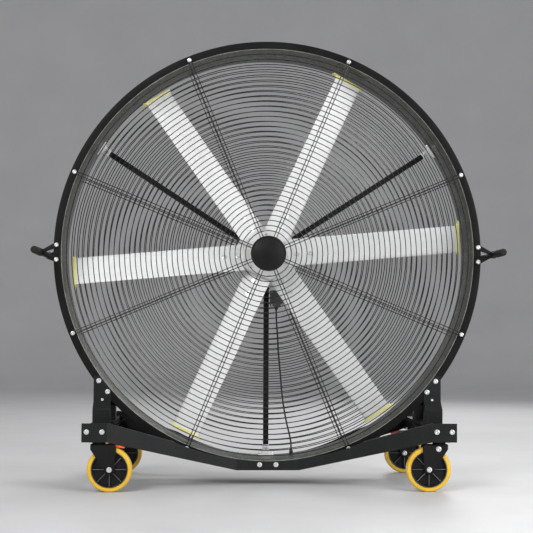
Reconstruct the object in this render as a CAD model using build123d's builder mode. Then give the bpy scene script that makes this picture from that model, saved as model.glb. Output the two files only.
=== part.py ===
from build123d import *
import os
from math import cos, radians, sin, sqrt, tan

# A mobile two metre drum fan: a flanged steel drum with a wire guard on each face, a six
# blade impeller on a direct drive motor, and a wheeled base of two pressed beams and two rails.
#
# Millimetres. +X is to the right and +Y is away from someone who faces the outlet, +Z is up,
# and the origin is on the floor under the middle of the fan. The fan's own axis runs along Y.
# The base, the drum and the guards are the same in front and behind.

os.makedirs("parts", exist_ok=True)

# ---------------------------------------------------------------- driving dimensions

# drum
drum_sink = 123.0  # how far the drum's flanges hang below the wheels' tops
drum_depth = 300.0  # over both flanges
shell_inner_radius = 963.0
shell_wall = 3.0
flange_width = 37.0
flange_thickness = 4.0

# guards: hairpin spoke wires on the flange, rings welded behind them
spoke_count = 8
first_spoke_angle = 22.5
spoke_pair_gap = 13.5  # between the centre lines of the two wires of a spoke
wire_size = 4.5
weld_gap = 0.2  # a weld holds each ring this far off its spokes
wall_gap = 0.5  # what meets a round wall stands this far off it
first_ring_radius = 132.0
ring_pitch = 49.0
rim_gap = 40.0  # least gap between the last ring and the drum's wall
spoke_inner_radius = 60.0
spoke_end_margin = 10.0  # from the end of a spoke to the flange's rim
guard_bolt_inset = 19.0  # from the flange's rim
disc_radius = 83.0
disc_thickness = 5.0

# fasteners
bolt_flats = 18.0
bolt_head = 6.0
frame_bolt_flats = 22.0
frame_bolt_head = 8.0

# impeller
blade_count = 6
first_blade_angle = 5.0
blade_pitch = 22.0  # blade angle to the plane of rotation
blade_y = -20.0  # depth of the blades' flat face at mid chord
blade_chord = 140.0
blade_crown = 20.0  # greatest thickness
blade_nose_height = 9.0
blade_heel = 10.0  # from the nose to the end of the flat face
blade_shoulder = 12.0  # from the nose to where it meets the crowned face
blade_brow = 3.0  # below the crown, there
blade_tail = 1.6  # thickness of the trailing edge
tip_gap = 43.0  # from the blades' ends to the drum's wall
spar_width = 58.0  # chamber that the hub's arm slides into
spar_height = 10.0
spar_floor = 3.5  # wall between the chamber and the flat face
spar_offset = 7.0  # chamber's middle, ahead of mid chord
arm_clearance = 0.3
arm_inner_radius = 100.0
arm_outer_radius = 236.0
root_clearance = 4.0  # blade root to rotor
blade_bolt_radii = (142.0, 207.0)
fin_thickness = 4.0
fin_overhang = 20.0  # past the trailing edge
fin_nose = 6.0  # past the leading edge
fin_below = 6.0
fin_above = 8.0
fin_corner = 9.0

# motor
rotor_radius = 108.0  # to the middle of the flat behind each blade
rotor_front_y = -68.0
rotor_back_y = 42.0
rotor_chamfer = 14.0
shaft_radius = 25.0
shaft_front_y = -50.0
running_clearance = 0.05
seat_clearance = 0.1
stator_gap = 3.0
stator_front_radius = 116.0
stator_radius = 152.0
stator_shoulder = 26.0  # depth over which the housing swells
stator_depth = 50.0
strut_width = 25.0
strut_depth = 40.0
strut_angles = (33.0, 147.0, 270.0)
strut_inner_radius = 60.0
strut_foot_length = 26.0
strut_foot_width = 46.0

# terminal box and motor lead
box_width = 60.0
box_depth = 60.0
box_height = 92.0
box_middle_x = 48.0
box_front_y = 58.0
gland_radius = 9.0
gland_length = 16.0
gland_lift = 4.0  # how far the drum's gland stands in over its own length
lead_diameter = 8.0
lead_seat = 0.3

# base
rail_spread = 0.775  # cosine of the flange's slope over the rail's middle, where the columns meet it
rail_width = 102.0
rail_height = 47.0
rail_wall = 4.0
rail_half_length = 416.0
beam_plate = 4.0
beam_tab_reach = 59.0  # from the rail's middle to the end of the tab
beam_flat_half = 145.0
beam_end_rise = 71.0  # top of the beam's ends above the rail's underside
beam_end_drop = 13.0
beam_sink = 7.0  # lowest edge below the drum's flange
beam_arc_x = 432.0  # where the straight top edge meets the drum opening's arc
beam_knee_gap = 2.0  # from the beam's knee to the rail's side
beam_flange = 28.0
beam_centre_bolt_x = 38.0
tab_bolt_rise = 33.0  # above the rail's underside
tab_bolt_half_spread = 34.0

# bent strips that tie the rails' inner sides to the drum's wall, half way along
stay_width = 60.0
stay_plate = 4.0
stay_angle = -50.5  # of the bend at the drum's wall, about the fan's axis
stay_toe_angle = -53.0
stay_side_height = 30.0  # of the leg on the rail's side

# columns between the rails and the drum's flanges
column_offset = 47.0  # from the rail's middle in to the column's inner side
column_width = 80.0
column_plate = 4.0
column_overlap = 17.0  # above the flange's rim at the column's outer side
column_joggle_gap = 3.4  # below the flange's rim at the column's inner side
column_joggle_length = 36.0
column_joggle = 46.0  # how far the foot stands in front of the flange
column_foot = 70.0
column_bolt_offsets = (56.0, 15.0)  # from the column's inner side
column_bolt_inset = 16.0  # from the flange's rim

# handles
handle_reach = 60.0  # from the flange's rim to the bar's axis
handle_bar_radius = 14.0
handle_half_length = 357.0
grip_wall = 3.0
grip_length = 120.0
grip_end = 3.0
handle_bolt_inset = 13.0  # from the flange's rim
handle_bolt_spread = 68.0
handle_plate = 5.0
handle_lobe = 13.0
handle_arm = 13.0  # width of each of a bracket's two arms where it reaches the eye
handle_eye_wall = 4.0
eye_sides = 12  # flats round the eyes, hubs, races and grips

# small round pieces that repeat are many-sided: each pin or its bore is a polygon that clears the
# other's round face, so it still turns freely
disc_sides = 36
housing_sides = 24
tread_sides = 48
pin_sides = 12

# casters
caster_inset = 15.0  # from the rail's middle in to the swivel axis
caster_y = 375.0
wheel_radius = 100.0
wheel_width = 42.0
tread_depth = 18.0
wheel_trail = 48.0
core_sides = 16
core_rim = 7.0
core_width = 38.0
core_web = 8.0
core_hub_radius = 22.0
core_rib = 4.0
core_ribs = 8
axle_radius = 8.0
axle_flats = 22.0
axle_head = 7.0
fork_gap = 4.0  # from the wheel's side to the leg
fork_plate = 4.0
fork_head_room = 5.0  # between the wheel and the crown
fork_crown_plate = 6.0
fork_back = 36.0
fork_front = 60.0
leg_front = 78.0
leg_band = 21.0
leg_shoulder = 12.0  # length over which the leg's front corner drops
leg_drop = 8.0
leg_end_radius = 20.0
race_radius = 30.0
race_height = 5.7
race_gap = 0.3
plate_length = 96.0
plate_width = 70.0
plate_thickness = 6.0
dish_radius = 34.0
dish_depth = 12.0
king_pin_radius = 8.0
king_nut_flats = 22.0
king_nut_height = 8.0

# brake pedals
pedal_reach = 70.0  # pivot, from the swivel axis towards the wheel
pedal_drop = 5.0  # pivot, below the crown's top
pedal_pin_radius = 4.0
pedal_barrel = 6.5
pedal_length = 45.0
pedal_fall = 10.0  # from the pivot to the tip
pedal_thickness = 6.0
pedal_width = 36.0
braked = (("front", "left"), ("rear", "right"))

# ---------------------------------------------------------------- derived places

half_depth = drum_depth / 2
shell_outer_radius = shell_inner_radius + shell_wall
flange_radius = shell_inner_radius + flange_width
wheel_height = 2 * wheel_radius
axis_height = wheel_height - drum_sink + flange_radius
fan_axis = Axis((0, 0, axis_height), (0, 1, 0))
fan_side = Plane(origin=(0, 0, axis_height), x_dir=(0, 1, 0), z_dir=(1, 0, 0))
ends = {"front": -1, "rear": 1}
sides = {"left": -1, "right": 1}

# the casters carry the rails
fork_crown_top = wheel_height + fork_head_room + fork_crown_plate
race_top = fork_crown_top + race_height
rail_bottom = race_top + race_gap + dish_depth + plate_thickness
rail_top = rail_bottom + rail_height
rail_middle_x = flange_radius * rail_spread
rail_inner_x = rail_middle_x - rail_width / 2
caster_x = rail_middle_x - caster_inset


def facing_front(y, height=0.0, x=0.0):
    """Plane across the fan at depth y: its x is +X, its y is +Z and its normal is -Y."""
    return Plane(origin=(x, y, height), x_dir=(1, 0, 0), z_dir=(0, -1, 0))


def along_side(x):
    """Plane along the fan at x, at floor level: its x is +Y, its y is +Z, its normal is +X."""
    return Plane(origin=(x, 0, 0), x_dir=(0, 1, 0), z_dir=(1, 0, 0))


def rim_height(radius, x):
    """Height at x of the lower half of a circle about the fan's axis."""
    return axis_height - sqrt(radius**2 - x**2)


def save(piece, name):
    piece.part.label = name
    export_step(piece.part, f"parts/{name}.step")


# ---------------------------------------------------------------- drum

with BuildPart() as drum_shell:
    with BuildSketch(fan_side):
        with BuildLine():
            Polyline(
                (-half_depth, shell_inner_radius),
                (-half_depth, flange_radius),
                (-half_depth + flange_thickness, flange_radius),
                (-half_depth + flange_thickness, shell_outer_radius),
                (half_depth - flange_thickness, shell_outer_radius),
                (half_depth - flange_thickness, flange_radius),
                (half_depth, flange_radius),
                (half_depth, shell_inner_radius),
                close=True,
            )
        make_face()
    revolve(axis=fan_axis)
save(drum_shell, "drum_shell")

# ---------------------------------------------------------------- guards

guard_front_y = -half_depth - wire_size
guard_bolt_radius = flange_radius - guard_bolt_inset
ring_count = 1 + int((shell_inner_radius - rim_gap - first_ring_radius) / ring_pitch)


def ring_polygon(size, flats, mode):
    """Outline of a ring, with the middle of a flat on each spoke."""
    return RegularPolygon(size, flats, rotation=first_spoke_angle + 180 / flats, mode=mode)


with BuildPart() as front_guard:
    with BuildSketch(facing_front(-half_depth + weld_gap + wire_size, axis_height)):
        for turn in reversed(range(ring_count)):
            radius = first_ring_radius + turn * ring_pitch
            flats = spoke_count if radius < 2 * first_ring_radius else 2 * spoke_count
            ring_polygon(radius + wire_size / 2, flats, Mode.ADD)
            ring_polygon(radius - wire_size / 2, flats, Mode.SUBTRACT)
    extrude(amount=wire_size)
    spoke_length = flange_radius - spoke_end_margin - spoke_inner_radius
    spoke_middle = spoke_inner_radius + spoke_length / 2
    with BuildSketch(facing_front(-half_depth, axis_height)):
        with PolarLocations(0, spoke_count, start_angle=first_spoke_angle):
            with Locations((spoke_middle, spoke_pair_gap / 2), (spoke_middle, -spoke_pair_gap / 2)):
                Rectangle(spoke_length, wire_size)
    extrude(amount=wire_size)
save(front_guard, "front_guard")

with BuildPart() as rear_guard:
    mirror(front_guard.part, about=Plane.XZ)
save(rear_guard, "rear_guard")

with BuildPart() as front_disc:
    with BuildSketch(facing_front(guard_front_y, axis_height)):
        RegularPolygon(disc_radius, disc_sides)
    extrude(amount=disc_thickness)
save(front_disc, "front_disc")

with BuildPart() as rear_disc:
    mirror(front_disc.part, about=Plane.XZ)
save(rear_disc, "rear_disc")

with BuildPart() as guard_bolts:
    with BuildSketch(facing_front(guard_front_y, axis_height)):
        with PolarLocations(guard_bolt_radius, spoke_count, start_angle=first_spoke_angle):
            RegularPolygon(bolt_flats / 2, 6, major_radius=False)
    extrude(amount=bolt_head)
    mirror(about=Plane.XZ)
save(guard_bolts, "guard_bolts")

# ---------------------------------------------------------------- motor

stator_front_y = rotor_back_y + stator_gap
stator_back_y = stator_front_y + stator_depth

with BuildPart() as motor_stator:
    with BuildSketch(facing_front(stator_back_y, axis_height)):
        RegularPolygon(stator_radius, housing_sides)
    extrude(amount=stator_depth)
    front_face = motor_stator.faces().sort_by(Axis.Y)[0]
    chamfer(front_face.edges(), length=stator_shoulder, length2=stator_radius - stator_front_radius)
    with BuildSketch(facing_front(stator_front_y, axis_height)):
        Circle(shaft_radius)
    extrude(amount=stator_front_y - shaft_front_y)
save(motor_stator, "motor_stator")

with BuildPart() as motor_struts:
    for angle in strut_angles:
        with BuildSketch(facing_front(stator_back_y + strut_depth, axis_height)):
            with PolarLocations(0, 1, start_angle=angle):
                with Locations((strut_inner_radius, 0)):
                    Rectangle(
                        shell_inner_radius - strut_foot_length - strut_inner_radius,
                        strut_width,
                        align=(Align.MIN, Align.CENTER),
                    )
        extrude(amount=strut_depth)
save(motor_struts, "motor_struts")

with BuildPart() as strut_feet:
    for angle in strut_angles:
        with BuildSketch(facing_front(stator_back_y + strut_depth, axis_height)):
            with PolarLocations(0, 1, start_angle=angle):
                with Locations((shell_inner_radius - strut_foot_length, 0)):
                    Rectangle(
                        2 * strut_foot_length,
                        strut_foot_width,
                        align=(Align.MIN, Align.CENTER),
                    )
        extrude(amount=strut_depth)
    with BuildSketch(facing_front(stator_back_y + strut_depth, axis_height)):
        Circle(shell_inner_radius - wall_gap)
    extrude(amount=strut_depth, mode=Mode.INTERSECT)
save(strut_feet, "strut_feet")

# the box hangs on the motor's side, and its top fits the housing's curve
box_bottom = axis_height - stator_radius - box_height

with BuildPart() as terminal_box:
    with BuildSketch(facing_front(box_front_y + box_depth, box_bottom, box_middle_x)):
        Rectangle(box_width, box_height + stator_radius / 4, align=(Align.CENTER, Align.MIN))
    extrude(amount=box_depth)
    with BuildSketch(facing_front(box_front_y + box_depth, axis_height)):
        Circle(stator_radius + wall_gap)
    extrude(amount=box_depth, mode=Mode.SUBTRACT)
save(terminal_box, "terminal_box")

# The lead leaves the box straight down, runs down the back of the drum against the rear guard's
# rings and goes out through a gland in the drum's floor.
lead_y = half_depth - weld_gap - wire_size - lead_seat - lead_diameter / 2
lead_top_y = box_front_y + box_depth / 2
lead_exit_x = 123.0
lead_exit_y = 110.0
drum_floor = rim_height(shell_inner_radius, lead_exit_x)
lead_start = box_bottom - gland_length
lead_end = drum_floor + gland_length + gland_lift
lead_route = (
    (box_middle_x, lead_top_y, lead_start),
    (box_middle_x, lead_top_y, lead_start - 48),
    (58, lead_y, lead_start - 128),
    (60, lead_y, 622),
    (72, lead_y, 500),
    (80, lead_y, 398),
    (97, lead_y, 290),
    (118, lead_y - 6, 205),
    (lead_exit_x, lead_exit_y, lead_end + 34),
    (lead_exit_x, lead_exit_y, lead_end),
)


def bend_radii(points):
    """The largest tangent arc that fits at each corner with a little straight run left over."""
    radii = []
    for before, corner, after in zip(points, points[1:], points[2:]):
        arriving = Vector(corner) - Vector(before)
        leaving = Vector(after) - Vector(corner)
        turn = radians(arriving.get_angle(leaving))
        radii.append(0.45 * min(arriving.length, leaving.length) / tan(turn / 2))
    return radii


lead_radii = bend_radii(lead_route)
print("lead bend radii:", [round(radius) for radius in lead_radii])

with BuildPart() as motor_lead:
    with BuildLine():
        lead_path = FilletPolyline(*lead_route, radius=lead_radii)
    with BuildSketch(Plane(origin=lead_route[0], z_dir=(0, 0, -1))):
        RegularPolygon(lead_diameter / 2, 6)
    sweep(path=lead_path)
print("lead length:", round(lead_path.length))
save(motor_lead, "motor_lead")

with BuildPart() as lead_glands:
    with BuildSketch(Plane.XY.offset(box_bottom)):
        with Locations((box_middle_x, lead_top_y)):
            RegularPolygon(gland_radius, 6)
    extrude(amount=-gland_length)
    with BuildSketch(Plane.XY.offset(lead_end)):
        with Locations((lead_exit_x, lead_exit_y)):
            RegularPolygon(gland_radius, 6)
    extrude(amount=-2 * gland_length)
    with BuildSketch(facing_front(half_depth, axis_height)):
        Circle(shell_inner_radius - wall_gap)
    extrude(amount=drum_depth, mode=Mode.INTERSECT)
save(lead_glands, "lead_glands")

# ---------------------------------------------------------------- impeller


def blade_plane(angle, radius):
    """Plane square to a blade's span: its x runs up the chord to the leading edge, which is
    tilted away from the outlet, and its y points out of the crowned, suction face."""
    turn = radians(angle)
    pitch = radians(blade_pitch)
    span = Vector(cos(turn), 0, sin(turn))
    travel = Vector(sin(turn), 0, -cos(turn))
    chord = travel * cos(pitch) + Vector(0, sin(pitch), 0)
    hub_middle = Vector(0, blade_y, axis_height)
    return Plane(origin=hub_middle + span * radius, x_dir=chord, z_dir=span)


blade_angles = [first_blade_angle + 360 / blade_count * turn for turn in range(blade_count)]

with BuildPart() as rotor_hub:
    with BuildSketch(facing_front(rotor_back_y, axis_height)):
        RegularPolygon(
            rotor_radius,
            blade_count,
            major_radius=False,
            rotation=first_blade_angle + 180 / blade_count,
        )
    extrude(amount=rotor_back_y - rotor_front_y)
    front_face = rotor_hub.faces().sort_by(Axis.Y)[0]
    chamfer(front_face.edges(), length=rotor_chamfer)
    for angle in blade_angles:
        with BuildSketch(blade_plane(angle, arm_inner_radius)):
            with Locations((spar_offset, spar_floor + spar_height / 2)):
                Rectangle(spar_width - 2 * arm_clearance, spar_height - 2 * arm_clearance)
        extrude(amount=arm_outer_radius - arm_inner_radius)
    with BuildSketch(facing_front(rotor_back_y, axis_height)):
        Circle(shaft_radius + running_clearance)
    extrude(amount=rotor_back_y - shaft_front_y + stator_gap, mode=Mode.SUBTRACT)
save(rotor_hub, "rotor_hub")

blade_root_radius = rotor_radius + root_clearance
blade_tip_radius = shell_inner_radius - tip_gap
tail_x = -blade_chord / 2
nose_x = blade_chord / 2

for number, angle in enumerate(blade_angles, start=1):
    with BuildPart() as blade:
        with BuildSketch(blade_plane(angle, blade_root_radius)):
            with BuildLine():
                heel = (nose_x - blade_heel, 0)
                shoulder = (nose_x - blade_shoulder, blade_crown - blade_brow)
                Line((tail_x, 0), heel)
                ThreePointArc(heel, (nose_x, blade_nose_height), shoulder)
                ThreePointArc(shoulder, (0, blade_crown), (tail_x, blade_tail))
                Line((tail_x, blade_tail), (tail_x, 0))
            make_face()
            with Locations((spar_offset, spar_floor + spar_height / 2)):
                Rectangle(spar_width, spar_height, mode=Mode.SUBTRACT)
        extrude(amount=blade_tip_radius - blade_root_radius)
    save(blade, f"blade_{number}")

    with BuildPart() as tip_fin:
        with BuildSketch(blade_plane(angle, blade_tip_radius)):
            with Locations((tail_x - fin_overhang, -fin_below)):
                fin_outline = Rectangle(
                    fin_overhang + blade_chord + fin_nose,
                    fin_below + blade_crown + fin_above,
                    align=(Align.MIN, Align.MIN),
                )
            chamfer(fin_outline.vertices(), length=fin_corner)
        extrude(amount=fin_thickness)
    save(tip_fin, f"tip_fin_{number}")

with BuildPart() as blade_bolts:
    for angle in blade_angles:
        for radius in blade_bolt_radii:
            root = blade_plane(angle, radius)
            seat = Plane(
                origin=root.from_local_coords((spar_offset, 0, 0)),
                x_dir=root.z_dir,
                z_dir=-root.y_dir,
            )
            with BuildSketch(seat):
                RegularPolygon(bolt_flats / 2, 6, major_radius=False)
            extrude(amount=bolt_head)
save(blade_bolts, "blade_bolts")

# ---------------------------------------------------------------- base

beam_tab_outer_x = rail_middle_x + beam_tab_reach
beam_end_top = rail_bottom + beam_end_rise
beam_end_bottom = rail_bottom - beam_end_drop
beam_knee_x = rail_inner_x - beam_knee_gap
beam_tab_y = -rail_half_length - beam_plate
beam_flat_y = -half_depth - beam_plate
beam_low = axis_height - flange_radius - beam_sink
beam_arc_z = rim_height(shell_outer_radius, beam_arc_x)


def beam_plan(reach, outer_x):
    """Outline from above of a strip that follows the beam's front face and is reach deep."""
    run = [
        (-outer_x, beam_tab_y),
        (-beam_knee_x, beam_tab_y),
        (-beam_flat_half, beam_flat_y),
        (beam_flat_half, beam_flat_y),
        (beam_knee_x, beam_tab_y),
        (outer_x, beam_tab_y),
    ]
    return run + [(x, y + reach) for x, y in reversed(run)]


with BuildPart() as beam_top_flange:
    with BuildSketch(Plane.XY):
        with BuildLine():
            Polyline(*beam_plan(beam_flange, beam_knee_x + beam_plate), close=True)
        make_face()
    extrude(amount=beam_end_top)
    with BuildSketch(facing_front(0)):
        for side in sides.values():
            with BuildLine():
                Polyline(
                    (side * beam_arc_x, beam_arc_z),
                    (side * beam_knee_x, beam_end_top),
                    (side * beam_knee_x, beam_end_top - beam_plate),
                    (side * beam_arc_x, beam_arc_z - beam_plate),
                    close=True,
                )
            make_face()
    extrude(amount=-beam_tab_y, mode=Mode.INTERSECT)

with BuildPart() as beam_bottom_flange:
    with BuildSketch(Plane.XY):
        with BuildLine():
            Polyline(*beam_plan(beam_flange, beam_knee_x + beam_plate), close=True)
        make_face()
    extrude(amount=beam_end_top)
    with BuildSketch(facing_front(0)):
        for side in sides.values():
            with BuildLine():
                Polyline(
                    (side * beam_flat_half, beam_low),
                    (side * beam_knee_x, beam_end_bottom),
                    (side * beam_knee_x, beam_end_bottom + beam_plate),
                    (side * beam_flat_half, beam_low + beam_plate),
                    close=True,
                )
            make_face()
    extrude(amount=-beam_tab_y, mode=Mode.INTERSECT)

with BuildPart() as front_beam:
    with BuildSketch(Plane.XY):
        with BuildLine():
            Polyline(*beam_plan(beam_plate, beam_tab_outer_x), close=True)
        make_face()
    extrude(amount=beam_end_top)
    with BuildSketch(facing_front(0)):
        with BuildLine():
            Polyline(
                (-beam_tab_outer_x, beam_end_bottom),
                (-beam_knee_x, beam_end_bottom),
                (-beam_flat_half, beam_low),
                (beam_flat_half, beam_low),
                (beam_knee_x, beam_end_bottom),
                (beam_tab_outer_x, beam_end_bottom),
                (beam_tab_outer_x, beam_end_top),
                (beam_knee_x, beam_end_top),
                (beam_arc_x, beam_arc_z),
                (-beam_arc_x, beam_arc_z),
                (-beam_knee_x, beam_end_top),
                (-beam_tab_outer_x, beam_end_top),
                close=True,
            )
        make_face()
        with Locations((0, axis_height)):
            Circle(shell_outer_radius, mode=Mode.SUBTRACT)
    extrude(amount=-beam_tab_y, mode=Mode.INTERSECT)
    add(beam_top_flange.part)
    add(beam_bottom_flange.part)
save(front_beam, "front_beam")

with BuildPart() as rear_beam:
    mirror(front_beam.part, about=Plane.XZ)
save(rear_beam, "rear_beam")

for side_name, side in sides.items():
    with BuildPart() as rail:
        middle = facing_front(rail_half_length, rail_bottom + rail_height / 2, side * rail_middle_x)
        with BuildSketch(middle):
            Rectangle(rail_width, rail_height)
            Rectangle(rail_width - 2 * rail_wall, rail_height - 2 * rail_wall, mode=Mode.SUBTRACT)
        extrude(amount=2 * rail_half_length)
    save(rail, f"{side_name}_rail")

stay_side_x = rail_inner_x - weld_gap
stay_on_wall = [
    (shell_outer_radius * cos(angle), axis_height + shell_outer_radius * sin(angle))
    for angle in (radians(stay_angle), radians(stay_toe_angle))
]

with BuildPart() as drum_stays:
    with BuildSketch(facing_front(stay_width / 2)):
        with BuildLine():
            Polyline(
                (stay_side_x, rail_bottom),
                (stay_side_x, rail_bottom + stay_side_height),
                *stay_on_wall,
            )
            offset(amount=stay_plate, side=Side.LEFT, kind=Kind.INTERSECTION)
        make_face()
        with Locations((0, axis_height)):
            Circle(shell_outer_radius + wall_gap, mode=Mode.SUBTRACT)
    extrude(amount=stay_width)
    mirror(about=Plane.YZ)
save(drum_stays, "drum_stays")

# ---------------------------------------------------------------- columns

column_face_y = -half_depth - column_plate
column_foot_y = column_face_y - column_joggle
column_inner_x = rail_middle_x - column_offset
column_top = rim_height(flange_radius, column_inner_x + column_width) + column_overlap
column_joggle_top = rim_height(flange_radius, column_inner_x) - column_joggle_gap
column_joggle_bottom = column_joggle_top - column_joggle_length

with BuildPart() as front_right_column:
    with BuildSketch(along_side(column_inner_x)):
        with BuildLine():
            Polyline(
                (column_face_y, column_top),
                (column_face_y, column_joggle_top),
                (column_foot_y, column_joggle_bottom),
                (column_foot_y, rail_top),
                (column_foot_y + column_foot, rail_top),
                (column_foot_y + column_foot, rail_top + column_plate),
                (column_foot_y + column_plate, rail_top + column_plate),
                (column_foot_y + column_plate, column_joggle_bottom - column_plate / 2),
                (column_face_y + column_plate, column_joggle_top - column_plate / 2),
                (column_face_y + column_plate, column_top),
                close=True,
            )
        make_face()
    extrude(amount=column_width)
    for wall_x in (column_inner_x, column_inner_x + column_width - column_plate):
        with BuildSketch(along_side(wall_x)):
            with BuildLine():
                Polyline(
                    (column_foot_y + column_plate / 2, rail_top),
                    (column_foot_y + column_foot, rail_top),
                    (column_foot_y + column_foot, rail_top + column_foot / 3),
                    (-half_depth, column_joggle_bottom),
                    (-half_depth, column_joggle_top - column_plate / 2),
                    (column_foot_y + column_plate / 2, column_joggle_bottom - column_plate / 2),
                    close=True,
                )
            make_face()
        extrude(amount=column_plate)
    with BuildSketch(facing_front(0, axis_height)):
        Circle(shell_outer_radius)
    extrude(amount=-column_foot_y, mode=Mode.SUBTRACT)
save(front_right_column, "front_right_column")

with BuildPart() as front_left_column:
    mirror(front_right_column.part, about=Plane.YZ)
save(front_left_column, "front_left_column")

with BuildPart() as rear_right_column:
    mirror(front_right_column.part, about=Plane.XZ)
save(rear_right_column, "rear_right_column")

with BuildPart() as rear_left_column:
    mirror(front_left_column.part, about=Plane.XZ)
save(rear_left_column, "rear_left_column")

column_bolt_places = [
    (side * x, rim_height(flange_radius - column_bolt_inset, x))
    for x in (column_inner_x + offset for offset in column_bolt_offsets)
    for side in sides.values()
]
tab_middle_x = (beam_knee_x + beam_tab_outer_x) / 2

with BuildPart() as frame_bolts:
    with BuildSketch(facing_front(column_face_y)):
        with Locations(*column_bolt_places):
            RegularPolygon(frame_bolt_flats / 2, 6, major_radius=False)
    extrude(amount=frame_bolt_head)
    with BuildSketch(facing_front(beam_flat_y)):
        with Locations(*[
            (side * beam_centre_bolt_x, axis_height - guard_bolt_radius) for side in sides.values()
        ]):
            RegularPolygon(frame_bolt_flats / 2, 6, major_radius=False)
    extrude(amount=frame_bolt_head)
    with BuildSketch(facing_front(beam_tab_y)):
        with Locations(*[
            (side * tab_middle_x + shift, rail_bottom + tab_bolt_rise)
            for side in sides.values()
            for shift in (-tab_bolt_half_spread, tab_bolt_half_spread)
        ]):
            RegularPolygon(frame_bolt_flats / 2, 6, major_radius=False)
    extrude(amount=frame_bolt_head)
    mirror(about=Plane.XZ)
save(frame_bolts, "frame_bolts")

# ---------------------------------------------------------------- handles

handle_x = flange_radius + handle_reach
handle_bolt_x = sqrt((flange_radius - handle_bolt_inset) ** 2 - (handle_bolt_spread / 2) ** 2)

with BuildPart() as handle_brackets:
    for shift in (-handle_bolt_spread / 2, handle_bolt_spread / 2):
        with BuildSketch(facing_front(-half_depth, axis_height)):
            with Locations((handle_bolt_x, shift)):
                RegularPolygon(handle_lobe, eye_sides)
            with Locations((handle_x, 0)):
                RegularPolygon(handle_arm / 2, eye_sides)
            make_hull()
        extrude(amount=handle_plate)
    with BuildSketch(facing_front(-half_depth, axis_height)):
        with Locations((handle_x, 0)):
            RegularPolygon(handle_bar_radius + handle_eye_wall, eye_sides)
    extrude(amount=handle_plate)
    with BuildSketch(facing_front(-half_depth, axis_height)):
        with Locations((handle_x, 0)):
            RegularPolygon(
                handle_bar_radius + seat_clearance,
                eye_sides,
                major_radius=False,
            )
    extrude(amount=handle_plate, mode=Mode.SUBTRACT)
    mirror(about=Plane.XZ)
    mirror(about=Plane.YZ)
save(handle_brackets, "handle_brackets")

with BuildPart() as handle_bolts:
    with BuildSketch(facing_front(-half_depth - handle_plate, axis_height)):
        with Locations(
            (handle_bolt_x, handle_bolt_spread / 2),
            (handle_bolt_x, -handle_bolt_spread / 2),
        ):
            RegularPolygon(bolt_flats / 2, 6, major_radius=False)
    extrude(amount=bolt_head)
    mirror(about=Plane.XZ)
    mirror(about=Plane.YZ)
save(handle_bolts, "handle_bolts")

for side_name, side in sides.items():
    with BuildPart() as handle_bar:
        with BuildSketch(facing_front(handle_half_length, axis_height, side * handle_x)):
            Circle(handle_bar_radius)
        extrude(amount=2 * handle_half_length)
    save(handle_bar, f"{side_name}_handle_bar")

with BuildPart() as handle_grips:
    with BuildSketch(facing_front(-handle_half_length + grip_length, axis_height, handle_x)):
        RegularPolygon(handle_bar_radius + grip_wall, eye_sides)
    extrude(amount=grip_length + grip_end)
    with BuildSketch(facing_front(-handle_half_length + grip_length, axis_height, handle_x)):
        RegularPolygon(handle_bar_radius + seat_clearance, eye_sides, major_radius=False)
    extrude(amount=grip_length + seat_clearance, mode=Mode.SUBTRACT)
    mirror(about=Plane.XZ)
    mirror(about=Plane.YZ)
save(handle_grips, "handle_grips")

# ---------------------------------------------------------------- casters

with BuildPart() as caster_plates:
    for end in ends.values():
        for side in sides.values():
            place = Plane.XY.offset(rail_bottom)
            with BuildSketch(place):
                with Locations((side * caster_x, end * caster_y)):
                    Rectangle(plate_length, plate_width)
            extrude(amount=-plate_thickness)
            dish_bottom = race_top + race_gap
            with BuildSketch(Plane.XY.offset(rail_bottom - plate_thickness)):
                with Locations((side * caster_x, end * caster_y)):
                    RegularPolygon(dish_radius, eye_sides)
            extrude(amount=-dish_depth)
            with BuildSketch(Plane.XY.offset(dish_bottom)):
                with Locations((side * caster_x, end * caster_y)):
                    Circle(king_pin_radius)
            nut_top = fork_crown_top - fork_crown_plate - race_gap
            extrude(amount=-(dish_bottom - nut_top))
            with BuildSketch(Plane.XY.offset(nut_top)):
                with Locations((side * caster_x, end * caster_y)):
                    RegularPolygon(king_nut_flats / 2, 6, major_radius=False)
            extrude(amount=-king_nut_height)
save(caster_plates, "caster_plates")


def caster_plane(end, side, reach=0.0, height=0.0, shift=0.0):
    """Plane across a caster: its x points from the swivel axis to the wheel, its y is +Z."""
    return Plane(
        origin=(side * (caster_x - reach), end * caster_y + side * shift, height),
        x_dir=(-side, 0, 0),
        z_dir=(0, side, 0),
    )


leg_inner = wheel_width / 2 + fork_gap
leg_outer = leg_inner + fork_plate
pedal_height = fork_crown_top - pedal_drop
pedal_tip_height = pedal_height - pedal_fall
pedal_tip_reach = pedal_reach + pedal_length
core_radius = wheel_radius - tread_depth

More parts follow.
